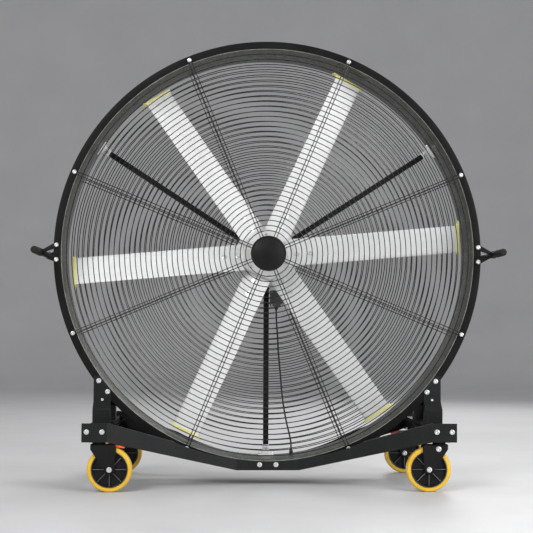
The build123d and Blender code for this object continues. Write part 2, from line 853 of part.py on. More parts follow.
for end_name, end in ends.items():
    for side_name, side in sides.items():
        corner = f"{end_name}_{side_name}"
        hub_plane = caster_plane(end, side, wheel_trail, wheel_radius)

        with BuildPart() as tread:
            with BuildSketch(hub_plane):
                RegularPolygon(
                    wheel_radius,
                    tread_sides,
                    major_radius=False,
                    rotation=90 + 180 / tread_sides,
                )
                RegularPolygon(core_radius + weld_gap, core_sides, mode=Mode.SUBTRACT)
            extrude(amount=wheel_width / 2, both=True)
        save(tread, f"tread_{corner}")

        with BuildPart() as wheel_core:
            with BuildSketch(hub_plane):
                RegularPolygon(core_radius, core_sides)
                RegularPolygon(core_radius - core_rim, core_sides, mode=Mode.SUBTRACT)
            extrude(amount=core_width / 2, both=True)
            with BuildSketch(hub_plane):
                RegularPolygon(core_radius - core_rim, core_sides)
            extrude(amount=core_web / 2, both=True)
            rib_length = core_radius - core_rim - core_hub_radius + core_rib
            with BuildSketch(hub_plane):
                with PolarLocations(0, core_ribs):
                    with Locations((core_hub_radius - core_rib / 2, 0)):
                        Rectangle(rib_length, core_rib, align=(Align.MIN, Align.CENTER))
            extrude(amount=core_width / 2 - core_rib, both=True)
            with BuildSketch(hub_plane):
                RegularPolygon(core_hub_radius, eye_sides)
            extrude(amount=wheel_width / 2, both=True)
            with BuildSketch(hub_plane):
                Circle(axle_radius + running_clearance)
            extrude(amount=wheel_width / 2, both=True, mode=Mode.SUBTRACT)
        save(wheel_core, f"wheel_core_{corner}")

        with BuildPart() as axle:
            with BuildSketch(hub_plane):
                RegularPolygon(axle_radius, pin_sides)
            extrude(amount=leg_outer, both=True)
            for face in (-leg_outer - axle_head, leg_outer):
                with BuildSketch(caster_plane(end, side, wheel_trail, wheel_radius, face)):
                    RegularPolygon(axle_flats / 2, 6, major_radius=False)
                extrude(amount=axle_head)
        save(axle, f"axle_{corner}")

        with BuildPart() as fork:
            for face in (-leg_outer, leg_inner):
                with BuildSketch(caster_plane(end, side, shift=face)):
                    with Locations((-fork_back, fork_crown_top)):
                        Rectangle(
                            leg_front - leg_shoulder + fork_back,
                            leg_band,
                            align=(Align.MIN, Align.MAX),
                        )
                    with Locations((-fork_back, fork_crown_top - leg_drop)):
                        Rectangle(
                            leg_front + fork_back,
                            leg_band - leg_drop,
                            align=(Align.MIN, Align.MAX),
                        )
                    with Locations((wheel_trail, wheel_radius)):
                        RegularPolygon(leg_end_radius, eye_sides)
                    make_hull()
                extrude(amount=fork_plate)
            with BuildSketch(caster_plane(end, side)):
                with Locations(((fork_front - fork_back) / 2, fork_crown_top)):
                    Rectangle(
                        fork_front + fork_back,
                        fork_crown_plate,
                        align=(Align.CENTER, Align.MAX),
                    )
            extrude(amount=leg_outer, both=True)
            with BuildSketch(Plane.XY.offset(fork_crown_top)):
                with Locations((side * caster_x, end * caster_y)):
                    RegularPolygon(race_radius, eye_sides)
            extrude(amount=race_top - fork_crown_top)
            with BuildSketch(Plane.XY.offset(race_top)):
                with Locations((side * caster_x, end * caster_y)):
                    RegularPolygon(
                        king_pin_radius + running_clearance,
                        pin_sides,
                        major_radius=False,
                    )
            extrude(amount=fork_crown_top - fork_crown_plate - race_top, mode=Mode.SUBTRACT)
            with BuildSketch(hub_plane):
                RegularPolygon(axle_radius + seat_clearance, pin_sides, major_radius=False)
            extrude(amount=leg_outer, both=True, mode=Mode.SUBTRACT)
            if (end_name, side_name) in braked:
                with BuildSketch(caster_plane(end, side, pedal_reach, pedal_height)):
                    RegularPolygon(pedal_pin_radius, pin_sides)
                extrude(amount=leg_outer, both=True)
        save(fork, f"fork_{corner}")

        if (end_name, side_name) in braked:
            with BuildPart() as pedal:
                with BuildSketch(caster_plane(end, side)):
                    with BuildLine():
                        Polyline(
                            (pedal_reach, pedal_height + pedal_thickness / 2),
                            (pedal_tip_reach, pedal_tip_height + pedal_thickness / 2),
                            (pedal_tip_reach, pedal_tip_height - pedal_thickness / 2),
                            (pedal_reach, pedal_height - pedal_thickness / 2),
                            close=True,
                        )
                    make_face()
                    with Locations((pedal_reach, pedal_height)):
                        RegularPolygon(pedal_barrel, pin_sides)
                        Circle(pedal_pin_radius + running_clearance, mode=Mode.SUBTRACT)
                extrude(amount=pedal_width / 2, both=True)
            save(pedal, f"brake_pedal_{corner}")
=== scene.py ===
from math import cos, pi, radians, sin, sqrt, tan

import bmesh
import bpy
from mathutils import Matrix, Vector
from mathutils.geometry import convex_hull_2d


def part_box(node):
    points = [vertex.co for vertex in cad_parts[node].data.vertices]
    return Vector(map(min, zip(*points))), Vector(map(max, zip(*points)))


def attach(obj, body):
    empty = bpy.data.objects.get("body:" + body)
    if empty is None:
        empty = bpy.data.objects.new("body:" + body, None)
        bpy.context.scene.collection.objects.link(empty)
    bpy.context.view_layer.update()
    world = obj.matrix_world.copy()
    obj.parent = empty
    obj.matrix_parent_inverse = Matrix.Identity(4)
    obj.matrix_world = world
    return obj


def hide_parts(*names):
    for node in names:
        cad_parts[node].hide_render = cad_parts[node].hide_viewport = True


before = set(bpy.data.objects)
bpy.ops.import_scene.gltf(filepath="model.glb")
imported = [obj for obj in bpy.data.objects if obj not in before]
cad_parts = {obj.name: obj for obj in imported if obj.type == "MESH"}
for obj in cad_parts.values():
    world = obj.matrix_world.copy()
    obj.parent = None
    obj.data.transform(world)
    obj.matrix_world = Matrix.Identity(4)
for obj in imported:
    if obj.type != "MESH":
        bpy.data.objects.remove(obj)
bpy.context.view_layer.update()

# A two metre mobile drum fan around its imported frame. Metres, +X to the right and +Y away from
# someone who faces the outlet, +Z up. The fan's axis runs along Y at AXIS_HEIGHT.

# ---------------- sizes taken from the frame

drum_low, drum_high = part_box("drum_shell")
AXIS_HEIGHT = (drum_low.z + drum_high.z) / 2
FLANGE_RADIUS = (drum_high.z - drum_low.z) / 2
HALF_DEPTH = drum_high.y
FLANGE_WIDTH = 0.037
FLANGE_THICKNESS = 0.004
FLANGE_BACK = HALF_DEPTH - FLANGE_THICKNESS
SHELL_RADIUS = FLANGE_RADIUS - FLANGE_WIDTH
SHELL_WALL = 0.003
WALL_OUTER = SHELL_RADIUS + SHELL_WALL

X_WAY = Vector((1, 0, 0))
Y_WAY = Vector((0, 1, 0))
Z_WAY = Vector((0, 0, 1))

# Each corner's side and end: -1 is left or front, 1 is right or rear.
CORNERS = {
    "front_left": (-1, -1),
    "front_right": (1, -1),
    "rear_left": (-1, 1),
    "rear_right": (1, 1),
}
ENDS = {"front": -1, "rear": 1}
BOTH = (-1, 1)


# ---------------- places

def place_at(origin, x_dir=X_WAY, z_dir=Z_WAY):
    """Matrix that puts local axes x and z along x_dir and z_dir, at origin."""
    z_axis = Vector(z_dir).normalized()
    x_axis = Vector(x_dir)
    x_axis = (x_axis - z_axis * x_axis.dot(z_axis)).normalized()
    turned = Matrix((x_axis, z_axis.cross(x_axis), z_axis)).transposed().to_4x4()
    return Matrix.Translation(Vector(origin)) @ turned


def outward(end, x=0.0, z=AXIS_HEIGHT, depth=0.0):
    """Local z runs out of the front (end -1) or the rear (end 1), from that depth at x and z."""
    return place_at((x, end * depth, z), X_WAY, end * Y_WAY)


def spoke_place(angle, depth=0.0):
    """Local x runs out from the fan's axis at that angle in degrees, and local z runs forwards."""
    out = Vector((cos(radians(angle)), 0, sin(radians(angle))))
    return place_at((0, depth, AXIS_HEIGHT), out, -Y_WAY)


def on_circle(radius, angle):
    """The x and z of a point at that radius and angle in degrees about the fan's axis."""
    return radius * cos(radians(angle)), AXIS_HEIGHT + radius * sin(radians(angle))


FORWARDS = outward(-1)
BACKWARDS = outward(1)
UNMOVED = Matrix.Identity(4)


# ---------------- outlines and profiles

def spaced(first, last, steps):
    """Evenly spaced numbers from first to last, with both."""
    return [first + (last - first) * step / steps for step in range(steps + 1)]


def full_turn(steps):
    """Even angles round a circle."""
    return [2 * pi * step / steps for step in range(steps)]


def polar(radius, angle):
    return radius * cos(angle), radius * sin(angle)


def circle_outline(radius, sides=32, middle=(0.0, 0.0), turn=0.0):
    points = [polar(radius, angle + turn) for angle in full_turn(sides)]
    return [(middle[0] + x, middle[1] + y) for x, y in points]


def rectangle(left, bottom, right, top):
    return [(left, bottom), (right, bottom), (right, top), (left, top)]


def mirrored(points):
    """The points, and then their mirror images on the other side of the first axis."""
    return [*points, *((x, -y) for x, y in reversed(points))]


def hull_outline(points):
    """The outline of the smallest convex shape round the points."""
    samples = [Vector(point) for point in points]
    return [tuple(samples[index]) for index in convex_hull_2d(samples)]


def strap_outline(first, first_radius, second, second_radius):
    """Outline of a strap between two round ends."""
    return hull_outline([
        Vector(middle) + radius * Vector(polar(1, angle))
        for middle, radius in ((first, first_radius), (second, second_radius))
        for angle in full_turn(40)
    ])


def swept(middle, arm, sweep, steps):
    """Points at the end of an arm that turns about middle by the angle sweep."""
    return [
        tuple(middle + Matrix.Rotation(-sweep * step / steps, 2) @ arm)
        for step in range(steps + 1)
    ]


def rounded_outline(points, radii, steps=6):
    """The outline with an arc at each corner. Radii is one number, or one for each corner."""
    if isinstance(radii, float):
        radii = [radii] * len(points)
    result = []
    for index, radius in enumerate(radii):
        corner = Vector(points[index])
        if not radius:
            result.append(tuple(corner))
            continue
        before = Vector(points[index - 1]) - corner
        after = Vector(points[(index + 1) % len(points)]) - corner
        half = before.angle(after) / 2
        reach = min(radius / tan(half), 0.49 * before.length, 0.49 * after.length)
        inward = (before.normalized() + after.normalized()).normalized()
        middle = corner + inward * (reach * tan(half) / sin(half))
        start = corner + before.normalized() * reach - middle
        end = corner + after.normalized() * reach - middle
        result += swept(middle, start, start.angle_signed(end), steps)
    return result


def arc_through(first, middle, last, steps):
    """Points along the arc through three points, with both ends."""
    (ax, ay), (bx, by), (cx, cy) = first, middle, last
    d = 2 * (ax * (by - cy) + bx * (cy - ay) + cx * (ay - by))
    a2, b2, c2 = ax**2 + ay**2, bx**2 + by**2, cx**2 + cy**2
    centre = Vector((
        (a2 * (by - cy) + b2 * (cy - ay) + c2 * (ay - by)) / d,
        (a2 * (cx - bx) + b2 * (ax - cx) + c2 * (bx - ax)) / d,
    ))
    start, halfway, end = (Vector(point) - centre for point in (first, middle, last))
    sweep = start.angle_signed(halfway) + halfway.angle_signed(end)
    return swept(centre, start, sweep, steps)


# ---------------- meshes

EDGE_ANGLE = radians(30)


def add_lathe(target, profile, place, segments=96, closed=False):
    """Turns (radius, height) points about the local z axis of place. Radius 0 makes a pole."""
    rings = []
    for radius, height in profile:
        if radius < 1e-7:
            rings.append([target.verts.new(place @ Vector((0, 0, height)))])
            continue
        rings.append([
            target.verts.new(place @ Vector((*polar(radius, angle), height)))
            for angle in full_turn(segments)
        ])
    pairs = list(zip(rings, rings[1:]))
    if closed:
        pairs.append((rings[-1], rings[0]))
    for first, second in pairs:
        for turn in range(segments):
            after = (turn + 1) % segments
            if len(first) == 1:
                target.faces.new((first[0], second[turn], second[after]))
            elif len(second) == 1:
                target.faces.new((first[turn], second[0], first[after]))
            else:
                target.faces.new((first[turn], second[turn], second[after], first[after]))


def join_loops(target, loops, closed=False):
    """Skins loops of equally many vertices, with flat ends unless the last joins the first."""
    pairs = list(zip(loops, loops[1:]))
    if closed:
        pairs.append((loops[-1], loops[0]))
    else:
        target.faces.new(list(reversed(loops[0])))
        target.faces.new(loops[-1])
    for first, second in pairs:
        for index in range(len(first)):
            before = index - 1
            target.faces.new((first[before], first[index], second[index], second[before]))


def add_tube(target, points, radius, sides=8, closed=False):
    """Round tube along points."""
    points = [Vector(point) for point in points]
    count = len(points)
    loops = []
    normal = None
    for index, point in enumerate(points):
        if closed:
            before, after = points[index - 1], points[(index + 1) % count]
        else:
            before, after = points[max(index - 1, 0)], points[min(index + 1, count - 1)]
        tangent = (after - before).normalized()
        if normal is None:
            normal = tangent.orthogonal().normalized()
        normal = (normal - tangent * normal.dot(tangent)).normalized()
        side = tangent.cross(normal)
        loops.append([
            target.verts.new(point + radius * (normal * cos(angle) + side * sin(angle)))
            for angle in full_turn(sides)
        ])
    join_loops(target, loops, closed)


def add_part(target, source, place=UNMOVED):
    """Copies source into target at place, and frees source."""
    source.transform(place)
    holder = bpy.data.meshes.new("holder")
    source.to_mesh(holder)
    source.free()
    target.from_mesh(holder)
    bpy.data.meshes.remove(holder)


def prism(outline, low, high, bevel=0.0, segments=2, holes=()):
    """An upright prism of an outline in local x and y, between two heights, with its edges rounded.
    Holes are further outlines that go through it."""
    source = bmesh.new()
    edges = []
    for loop in (outline, *holes):
        corners = [source.verts.new((x, y, low)) for x, y in loop]
        edges += [
            source.edges.new((corners[index - 1], corners[index]))
            for index in range(len(corners))
        ]
    bmesh.ops.triangle_fill(source, edges=edges, use_beauty=True, use_dissolve=False)
    bmesh.ops.dissolve_limit(
        source, angle_limit=radians(1), verts=list(source.verts), edges=list(source.edges),
    )
    grown = bmesh.ops.extrude_face_region(source, geom=list(source.faces), use_keep_orig=True)
    raised = [item for item in grown["geom"] if isinstance(item, bmesh.types.BMVert)]
    bmesh.ops.translate(source, vec=(0, 0, high - low), verts=raised)
    bmesh.ops.recalc_face_normals(source, faces=list(source.faces))
    if bevel:
        sharp = [
            edge for edge in source.edges
            if len(edge.link_faces) == 2 and edge.calc_face_angle(0) > EDGE_ANGLE
        ]
        bmesh.ops.bevel(
            source, geom=sharp, offset=bevel, segments=segments, profile=0.5, affect="EDGES",
            clamp_overlap=True,
        )
    return source


def block(low, high, bevel):
    """A box between two corners, with rounded edges."""
    return prism(rectangle(*low[:2], *high[:2]), low[2], high[2], bevel)


# A bolt head's crown, in shares of half its width across the flats and of its height.
BOLT_CROWN = ((1, 0.84), (0.97, 0.93), (0.86, 0.99), (0.45, 1), (0.4, 0.96), (0, 0.96))


def add_bolt(target, place, kind):
    """Hex bolt head with a rounded crown, on a round washer if its kind has one. Kind is the
    width across the flats, the height and the washer's radius. Local z points out of the seat."""
    flats, head, washer = kind
    seat = 0.0
    if washer:
        seat = head * 0.22
        rim = seat * 0.3
        add_lathe(target, [
            (0, 0), (washer, 0), (washer, seat - rim), (washer - rim, seat), (0, seat),
        ], place, 32)
    add_part(target, prism(circle_outline(flats / sqrt(3), 6), seat, head * 0.86), place)
    crown = [(flats / 2 * across, head * up) for across, up in BOLT_CROWN]
    add_lathe(target, crown, place, 24)


def link_object(name, data):
    made = bpy.data.objects.new(name, data)
    bpy.context.scene.collection.objects.link(made)
    return made


def mesh_object(name, source):
    """An object of source, which is freed."""
    bmesh.ops.recalc_face_normals(source, faces=list(source.faces))
    mesh = bpy.data.meshes.new(name)
    source.to_mesh(mesh)
    source.free()
    return link_object(name, mesh)


def carved(source, *cuts):
    """Source after boolean cuts, each (operation, tool)."""
    body = mesh_object("cutter", source)
    tools = []
    for operation, tool in cuts:
        tools.append(mesh_object("cutter", tool))
        cut = body.modifiers.new("cut", "BOOLEAN")
        cut.operation = operation
        cut.object = tools[-1]
        cut.solver = "EXACT"
    evaluated = body.evaluated_get(bpy.context.evaluated_depsgraph_get())
    result = bmesh.new()
    result.from_mesh(evaluated.to_mesh())
    evaluated.to_mesh_clear()
    for piece in (body, *tools):
        mesh = piece.data
        bpy.data.objects.remove(piece)
        bpy.data.meshes.remove(mesh)
    return result


def finish_piece(name, source, body, finish, replaced=(), smooth=38):
    """Makes the piece from source, and puts it on its body. Finish is a slot name, which is not
    used, and the material; edges sharper than smooth degrees stay sharp."""
    slot, material = finish
    piece = mesh_object(name, source)
    piece.data.shade_smooth()
    piece.data.set_sharp_from_angle(angle=radians(smooth))
    piece.data.materials.append(material)
    if replaced:
        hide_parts(*replaced)
    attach(piece, body)


# ---------------- materials

# Most of a noise's values lie between these two.
NOISE_LOW = 0.3
NOISE_HIGH = 0.7


class Finish:
    """A node material with colour, roughness and bump that vary over the surface."""

    def __init__(self, name, metallic=0.0, specular=0.5, coat=0.0, coat_roughness=0.1,
                 subsurface=0.0):
        self.material = bpy.data.materials.new(name)
        self.material.use_nodes = True
        self.tree = self.material.node_tree
        self.shader = self.tree.nodes["Principled BSDF"]
        for socket, value in {
            "Metallic": metallic, "Specular IOR Level": specular, "Coat Weight": coat,
            "Coat Roughness": coat_roughness, "Subsurface Weight": subsurface,
            "Subsurface Scale": 0.004,
        }.items():
            self.shader.inputs[socket].default_value = value
        self.place = self.node("TexCoord").outputs["Object"]
        self.normal = None

    def node(self, kind, inputs=None, **settings):
        """A new node. Each of its inputs is a plain value or another node's output."""
        made = self.tree.nodes.new("ShaderNode" + kind)
        for key, value in settings.items():
            setattr(made, key, value)
        for socket, value in (inputs or {}).items():
            if isinstance(value, bpy.types.NodeSocket):
                self.tree.links.new(value, made.inputs[socket])
            else:
                made.inputs[socket].default_value = value
        return made

    def feed(self, socket, value):
        """Links a node's output to the shader's socket."""
        self.tree.links.new(value, self.shader.inputs[socket])

    def noise(self, scale, detail, stretch=None):
        """Noise over object coordinates, which stretch scales along each axis."""
        place = self.place
        if stretch:
            place = self.node("Mapping", {"Vector": place, "Scale": stretch}).outputs["Vector"]
        return self.node("TexNoise", {
            "Vector": place, "Scale": scale, "Detail": detail, "Roughness": 0.55,
        }).outputs["Fac"]

    def colours(self, factor, dark, light, high=NOISE_HIGH):
        """A run of colour from dark to light as factor goes from NOISE_LOW to high."""
        ramp = self.node("ValToRGB", {"Fac": factor})
        first, last = ramp.color_ramp.elements
        first.position, first.color = NOISE_LOW, (*dark, 1)
        last.position, last.color = high, (*light, 1)
        return ramp.outputs["Color"]

    def spread(self, factor, low, high):
        """Maps a noise to the numbers between low and high."""
        return self.node("MapRange", {
            "Value": factor, "From Min": NOISE_LOW, "From Max": NOISE_HIGH,
            "To Min": low, "To Max": high,
        }).outputs["Result"]

    def mix(self, factor, first, second):
        """Mixes two colours. A Mix node's colour sockets are found by number."""
        inputs = {"Factor": factor, 6: first, 7: second}
        return self.node("Mix", inputs, data_type="RGBA").outputs[2]

    def math(self, operation, *values):
        return self.node("Math", dict(enumerate(values)), operation=operation).outputs["Value"]

    def bump(self, height, distance, strength):
        """Adds height to the surface's bump, distance metres deep."""
        inputs = {"Height": height, "Distance": distance, "Strength": strength}
        if self.normal is not None:
            inputs["Normal"] = self.normal
        self.normal = self.node("Bump", inputs).outputs["Normal"]
        self.feed("Normal", self.normal)


def mottled(name, dark, light, rough, colour_noise, rough_noise, bumps, high=NOISE_HIGH, **shader):
    """A material whose colour and roughness each follow a noise, given as (scale, detail). Each of
    its bumps is (scale, detail, depth, strength)."""
    finish = Finish(name, **shader)
    finish.feed("Base Color", finish.colours(finish.noise(*colour_noise), dark, light, high))
    finish.feed("Roughness", finish.spread(finish.noise(*rough_noise), *rough))
    for scale, detail, depth, strength in bumps:
        finish.bump(finish.noise(scale, detail), depth, strength)
    return finish.material


def powder_coat(name, dark, light, rough=(0.4, 0.56), grain=1.0, specular=0.22):
    """Baked powder paint: fine orange peel, faint dusty patches."""
    return mottled(
        name, dark, light, rough, (7.0, 6), (23.0, 5),
        [(420.0, 2, 0.00022 * grain, 0.6), (1500.0, 1, 0.00006 * grain, 0.5)],
        high=0.72, specular=specular, coat=0.02, coat_roughness=0.35,
    )


def plastic(name, dark, light, rough, grain=0.00008, **shader):
    """Moulded plastic or rubber with a fine spark-eroded grain."""
    return mottled(name, dark, light, rough, (11.0, 5), (38.0, 4), [(900.0, 2, grain, 0.6)],
                   **shader)


def bright_metal(name, dark, light, rough, metallic):
    """Zinc plate or cast metal with a faint mottle."""
    return mottled(name, dark, light, rough, (130.0, 5), (260.0, 4), [(1300.0, 2, 0.00004, 0.5)],
                   metallic=metallic)


def brushed_blade(name, span):
    """Anodised extrusion: die lines run along the span, with a faint cloudiness across it."""
    finish = Finish(name, metallic=0.1, specular=0.45)
    finish.place = finish.node(
        "VectorRotate",
        {"Vector": finish.place, "Center": Vector((0, 0, AXIS_HEIGHT)), "Angle": span},
        rotation_type="Y_AXIS",
    ).outputs["Vector"]
    lines = finish.noise(260.0, 4, stretch=(0.012, 1, 1))
    tone = finish.colours(lines, (0.78, 0.785, 0.79), (0.88, 0.88, 0.885))
    haze = finish.colours(finish.noise(9.0, 5), (0.79, 0.79, 0.79), (0.87, 0.87, 0.87))
    finish.feed("Base Color", finish.mix(0.5, tone, haze))
    scratches = finish.noise(420.0, 3, stretch=(0.02, 1, 1))
    finish.feed("Roughness", finish.spread(scratches, 0.44, 0.58))
    finish.bump(lines, 0.00006, 0.4)
    return finish.material


# How far outside SHELL_RADIUS the inner wall's colour ends and the middle of the painted
# highlight line on the lips runs, and half the line's width.
INNER_MARGIN = 0.0008
LIP_MIDDLE = 0.0014
LIP_HALF = 0.0010


def drum_paint():
    """Black powder coat outside and on the flanges; on the inner wall a shinier olive grey, partly
    its paint and partly painted reflection; and a painted highlight line on the rolled lips,
    LIP_HALF to each side of its middle."""
    finish = Finish("drum_paint", specular=0.13)
    point = finish.node("SeparateXYZ", {"Vector": finish.place}).outputs
    height = finish.math("SUBTRACT", point["Z"], AXIS_HEIGHT)
    flat = finish.node("CombineXYZ", {"X": point["X"], "Z": height}).outputs["Vector"]
    radius = finish.node("VectorMath", {0: flat}, operation="LENGTH").outputs["Value"]
    inside = finish.math("LESS_THAN", radius, SHELL_RADIUS + INNER_MARGIN)
    # Mask of the painted highlight line on the rolled lips.
    lip_highlight_mask = finish.math("COMPARE", radius, SHELL_RADIUS + LIP_MIDDLE, LIP_HALF)
    patches = finish.noise(7.0, 6)
    streaks = finish.noise(26.0, 6, stretch=(1, 0.35, 1))
    outer = finish.colours(patches, (0.004, 0.004, 0.004), (0.008, 0.008, 0.0077), high=0.72)
    # The inner wall's lighter olive grey is partly the wall's paint and partly painted reflection.
    inner = finish.colours(streaks, (0.042, 0.044, 0.037), (0.085, 0.089, 0.075), high=0.72)
    # Painted highlight along the rolled lips.
    painted_lip_highlight = finish.colours(streaks, (0.16, 0.165, 0.15), (0.32, 0.325, 0.3), high=0.72)
    finish.feed("Base Color", finish.mix(lip_highlight_mask, finish.mix(inside, outer, inner), painted_lip_highlight))
    dull = finish.spread(finish.noise(23.0, 5), 0.4, 0.56)
    shiny = finish.spread(finish.noise(17.0, 5), 0.22, 0.36)
    finish.feed("Roughness", finish.mix(inside, dull, shiny))
    finish.bump(finish.noise(420.0, 2), 0.00022, 0.6)
    return finish.material


BLACK = powder_coat("black_powder_coat", (0.005, 0.0052, 0.0052), (0.010, 0.0103, 0.010),
                    specular=0.16)
BASE_BLACK = powder_coat("base_powder_coat", (0.008, 0.0085, 0.009), (0.015, 0.0157, 0.0164),
                         specular=0.19)

# Each finish pairs a slot name with the material of the pieces made with it.
FRAME_PAINT = "frame_paint", BLACK
PLATE_PAINT = "guard_paint", BLACK
WIRE_PAINT = "guard_paint", powder_coat(
    "wire_coat", (0.005, 0.005, 0.005), (0.010, 0.010, 0.010), (0.2, 0.3),
    grain=0.3, specular=0.5)
DRUM_PAINT = "drum_paint", drum_paint()
MOTOR_PAINT = "motor_paint", powder_coat(
    "motor_paint", (0.74, 0.745, 0.735), (0.82, 0.82, 0.80), (0.34, 0.48), specular=0.4)
BOX_PAINT = "box_paint", powder_coat(
    "box_paint", (0.075, 0.076, 0.072), (0.11, 0.111, 0.105))
FASTENER = "zinc_fastener", bright_metal(
    "zinc_plate", (0.70, 0.71, 0.71), (0.9, 0.9, 0.89), (0.2, 0.38), 0.85)
FOOT_METAL = "strut_foot_metal", bright_metal(
    "cast_aluminium", (0.74, 0.75, 0.75), (0.88, 0.88, 0.87), (0.4, 0.56), 0.45)
FIN_PLASTIC = "fin_plastic", plastic(
    "yellow_plastic", (0.84, 0.80, 0.27), (0.92, 0.89, 0.40), (0.3, 0.46))
TREAD = "tread_polyurethane", plastic(
    "tread_polyurethane", (0.70, 0.41, 0.014), (0.82, 0.53, 0.035), (0.2, 0.34),
    subsurface=0.06, coat=0.35)
CORE_PLASTIC = "core_plastic", plastic(
    "core_plastic", (0.004, 0.004, 0.0045), (0.009, 0.009, 0.0095), (0.3, 0.44), specular=0.25)
# Light grey plastic for lines painted on the wheel cores as highlights on their rims and ribs.
CORE_HIGHLIGHT = "core_plastic", plastic(
    "core_highlight_plastic", (0.13, 0.13, 0.13), (0.2, 0.2, 0.2), (0.2, 0.34))
PEDAL_PLASTIC = "pedal_plastic", plastic(
    "pedal_plastic", (0.72, 0.10, 0.012), (0.84, 0.15, 0.025), (0.28, 0.42), coat=0.2)
CABLE_RUBBER = "cable_rubber", plastic(
    "cable_rubber", (0.008, 0.008, 0.008), (0.014, 0.014, 0.014), (0.45, 0.6))
GLAND_PLASTIC = "gland_plastic", plastic(
    "gland_plastic", (0.012, 0.012, 0.012), (0.02, 0.02, 0.02), (0.36, 0.5))
GRIP_RUBBER = "grip_rubber", plastic(
    "grip_rubber", (0.009, 0.0094, 0.008), (0.017, 0.0176, 0.015), (0.55, 0.72),
    grain=0.00025, specular=0.25)


# ---------------- CAD nodes that stay

def dress(names, material, bevel):
    """Gives CAD nodes their material, and softens their sharp edges with modifiers."""
    for name in names:
        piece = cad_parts[name]
        piece.data.materials.clear()
        piece.data.materials.append(material)
        weld = piece.modifiers.new("weld", "WELD")
        weld.merge_threshold = 0.00002
        edge = piece.modifiers.new("edge", "BEVEL")
        edge.width = bevel
        edge.segments = 2
        edge.limit_method = "ANGLE"
        edge.angle_limit = EDGE_ANGLE


dress(["front_beam", "rear_beam", "left_rail", "right_rail", "drum_stays",
       *(f"{corner}_column" for corner in CORNERS)], BASE_BLACK, 0.0018)
dress(["motor_struts", "left_handle_bar", "right_handle_bar"], BLACK, 0.001)


# ---------------- drum

HALF_SECTION = [
    (SHELL_RADIUS, -HALF_DEPTH), (FLANGE_RADIUS, -HALF_DEPTH),
    (FLANGE_RADIUS, -FLANGE_BACK), (WALL_OUTER, -FLANGE_BACK),
]
HALF_ROUNDS = [0.0026, 0.0016, 0.0016, 0.004]
SEAM_ANGLE = 262.0
SEAM_RADIUS = 0.0022
SEAM_LIFT = 0.0004
SEAM_WAVE = 0.0003
WAVES_PER_METRE = 90

drum = bmesh.new()
section = rounded_outline(mirrored(HALF_SECTION), HALF_ROUNDS + HALF_ROUNDS[::-1], steps=4)
add_lathe(drum, section, BACKWARDS, 288, closed=True)
seam = spoke_place(SEAM_ANGLE)
for radius in (SHELL_RADIUS - SEAM_LIFT, WALL_OUTER + SEAM_LIFT):
    add_tube(drum, [
        seam @ Vector((radius + SEAM_WAVE * sin(WAVES_PER_METRE * depth), 0, depth))
        for depth in spaced(-FLANGE_BACK, FLANGE_BACK, 60)
    ], SEAM_RADIUS, sides=10)
finish_piece("drum_body", drum, "frame", DRUM_PAINT, ["drum_shell"], smooth=50)


# ---------------- guards

GUARD_RINGS = 35
FIRST_RING = 0.1075
LAST_RING = 0.9405
WIRE_RADIUS = 0.0021
RING_DEPTH = HALF_DEPTH - WIRE_RADIUS
SPOKE_DEPTH = HALF_DEPTH + 0.002
SPOKE_GAP = 0.0135
SPOKE_START = 0.062
SPOKE_TURN = 0.9815
SPOKE_ANGLES = [22.5 + 45 * turn for turn in range(8)]
DISC_RADIUS = 0.083
DISC_BACK = HALF_DEPTH + 0.0045
DISC_FRONT = HALF_DEPTH + 0.0095
# The hub plate's rim, in from its edge and back from its face: a round edge, then a groove.
DISC_RIM = (
    (0, 0.0024), (0.0008, 0.0008), (0.0024, 0), (0.0075, 0), (0.0085, 0.0006), (0.0105, 0.0006),
    (0.0115, 0),
)
GUARD_BOLT = (0.016, 0.006, 0.0100)
GUARD_BOLT_CIRCLE = 0.981
GUARD_SHANK = 0.004


def ring_radius(number):
    return FIRST_RING + (LAST_RING - FIRST_RING) * number / (GUARD_RINGS - 1)


def add_ring(target, radius, depth):
    """A wire ring about the fan's axis. Small rings need fewer steps round them."""
    steps = max(48, int(200 * radius) // 8 * 8)
    add_lathe(target, circle_outline(WIRE_RADIUS, 6, (radius, 0.0)), outward(1, depth=depth),
              steps, closed=True)


def hairpin(place):
    """One spoke: out along one wire, round the bolt, and back along the other."""
    half = SPOKE_GAP / 2
    bend = [(SPOKE_TURN + half * cos(angle), half * sin(angle))
            for angle in spaced(pi / 2, -pi / 2, 10)]
    points = [(SPOKE_START, half), *bend, (SPOKE_START, -half)]
    return [place @ Vector((x, y, 0)) for x, y in points]


for end_name, end in ENDS.items():
    guard = bmesh.new()
    for number in range(GUARD_RINGS):
        add_ring(guard, ring_radius(number), end * RING_DEPTH)
    for angle in SPOKE_ANGLES:
        add_tube(guard, hairpin(spoke_place(angle, end * SPOKE_DEPTH)), WIRE_RADIUS)
    finish_piece(f"{end_name}_guard_wires", guard, "frame", WIRE_PAINT, [f"{end_name}_guard"],
                 smooth=60)

    plate = bmesh.new()
    add_lathe(plate, [
        (0, DISC_BACK), (DISC_RADIUS - 0.001, DISC_BACK), (DISC_RADIUS, DISC_BACK + 0.001),
        *((DISC_RADIUS - inset, DISC_FRONT - back) for inset, back in DISC_RIM),
        (0, DISC_FRONT),
    ], outward(end))
    finish_piece(f"{end_name}_hub_plate", plate, "frame", PLATE_PAINT, [f"{end_name}_disc"])

bolts = bmesh.new()
for end in BOTH:
    for angle in SPOKE_ANGLES:
        seat = outward(end, *on_circle(GUARD_BOLT_CIRCLE, angle), DISC_BACK)
        add_bolt(bolts, seat, GUARD_BOLT)
        shank = [(GUARD_SHANK, 0), (GUARD_SHANK, HALF_DEPTH - DISC_BACK)]
        add_lathe(bolts, shank, seat, 16)
finish_piece("guard_bolt_heads", bolts, "frame", FASTENER, ["guard_bolts"])


# ---------------- motor

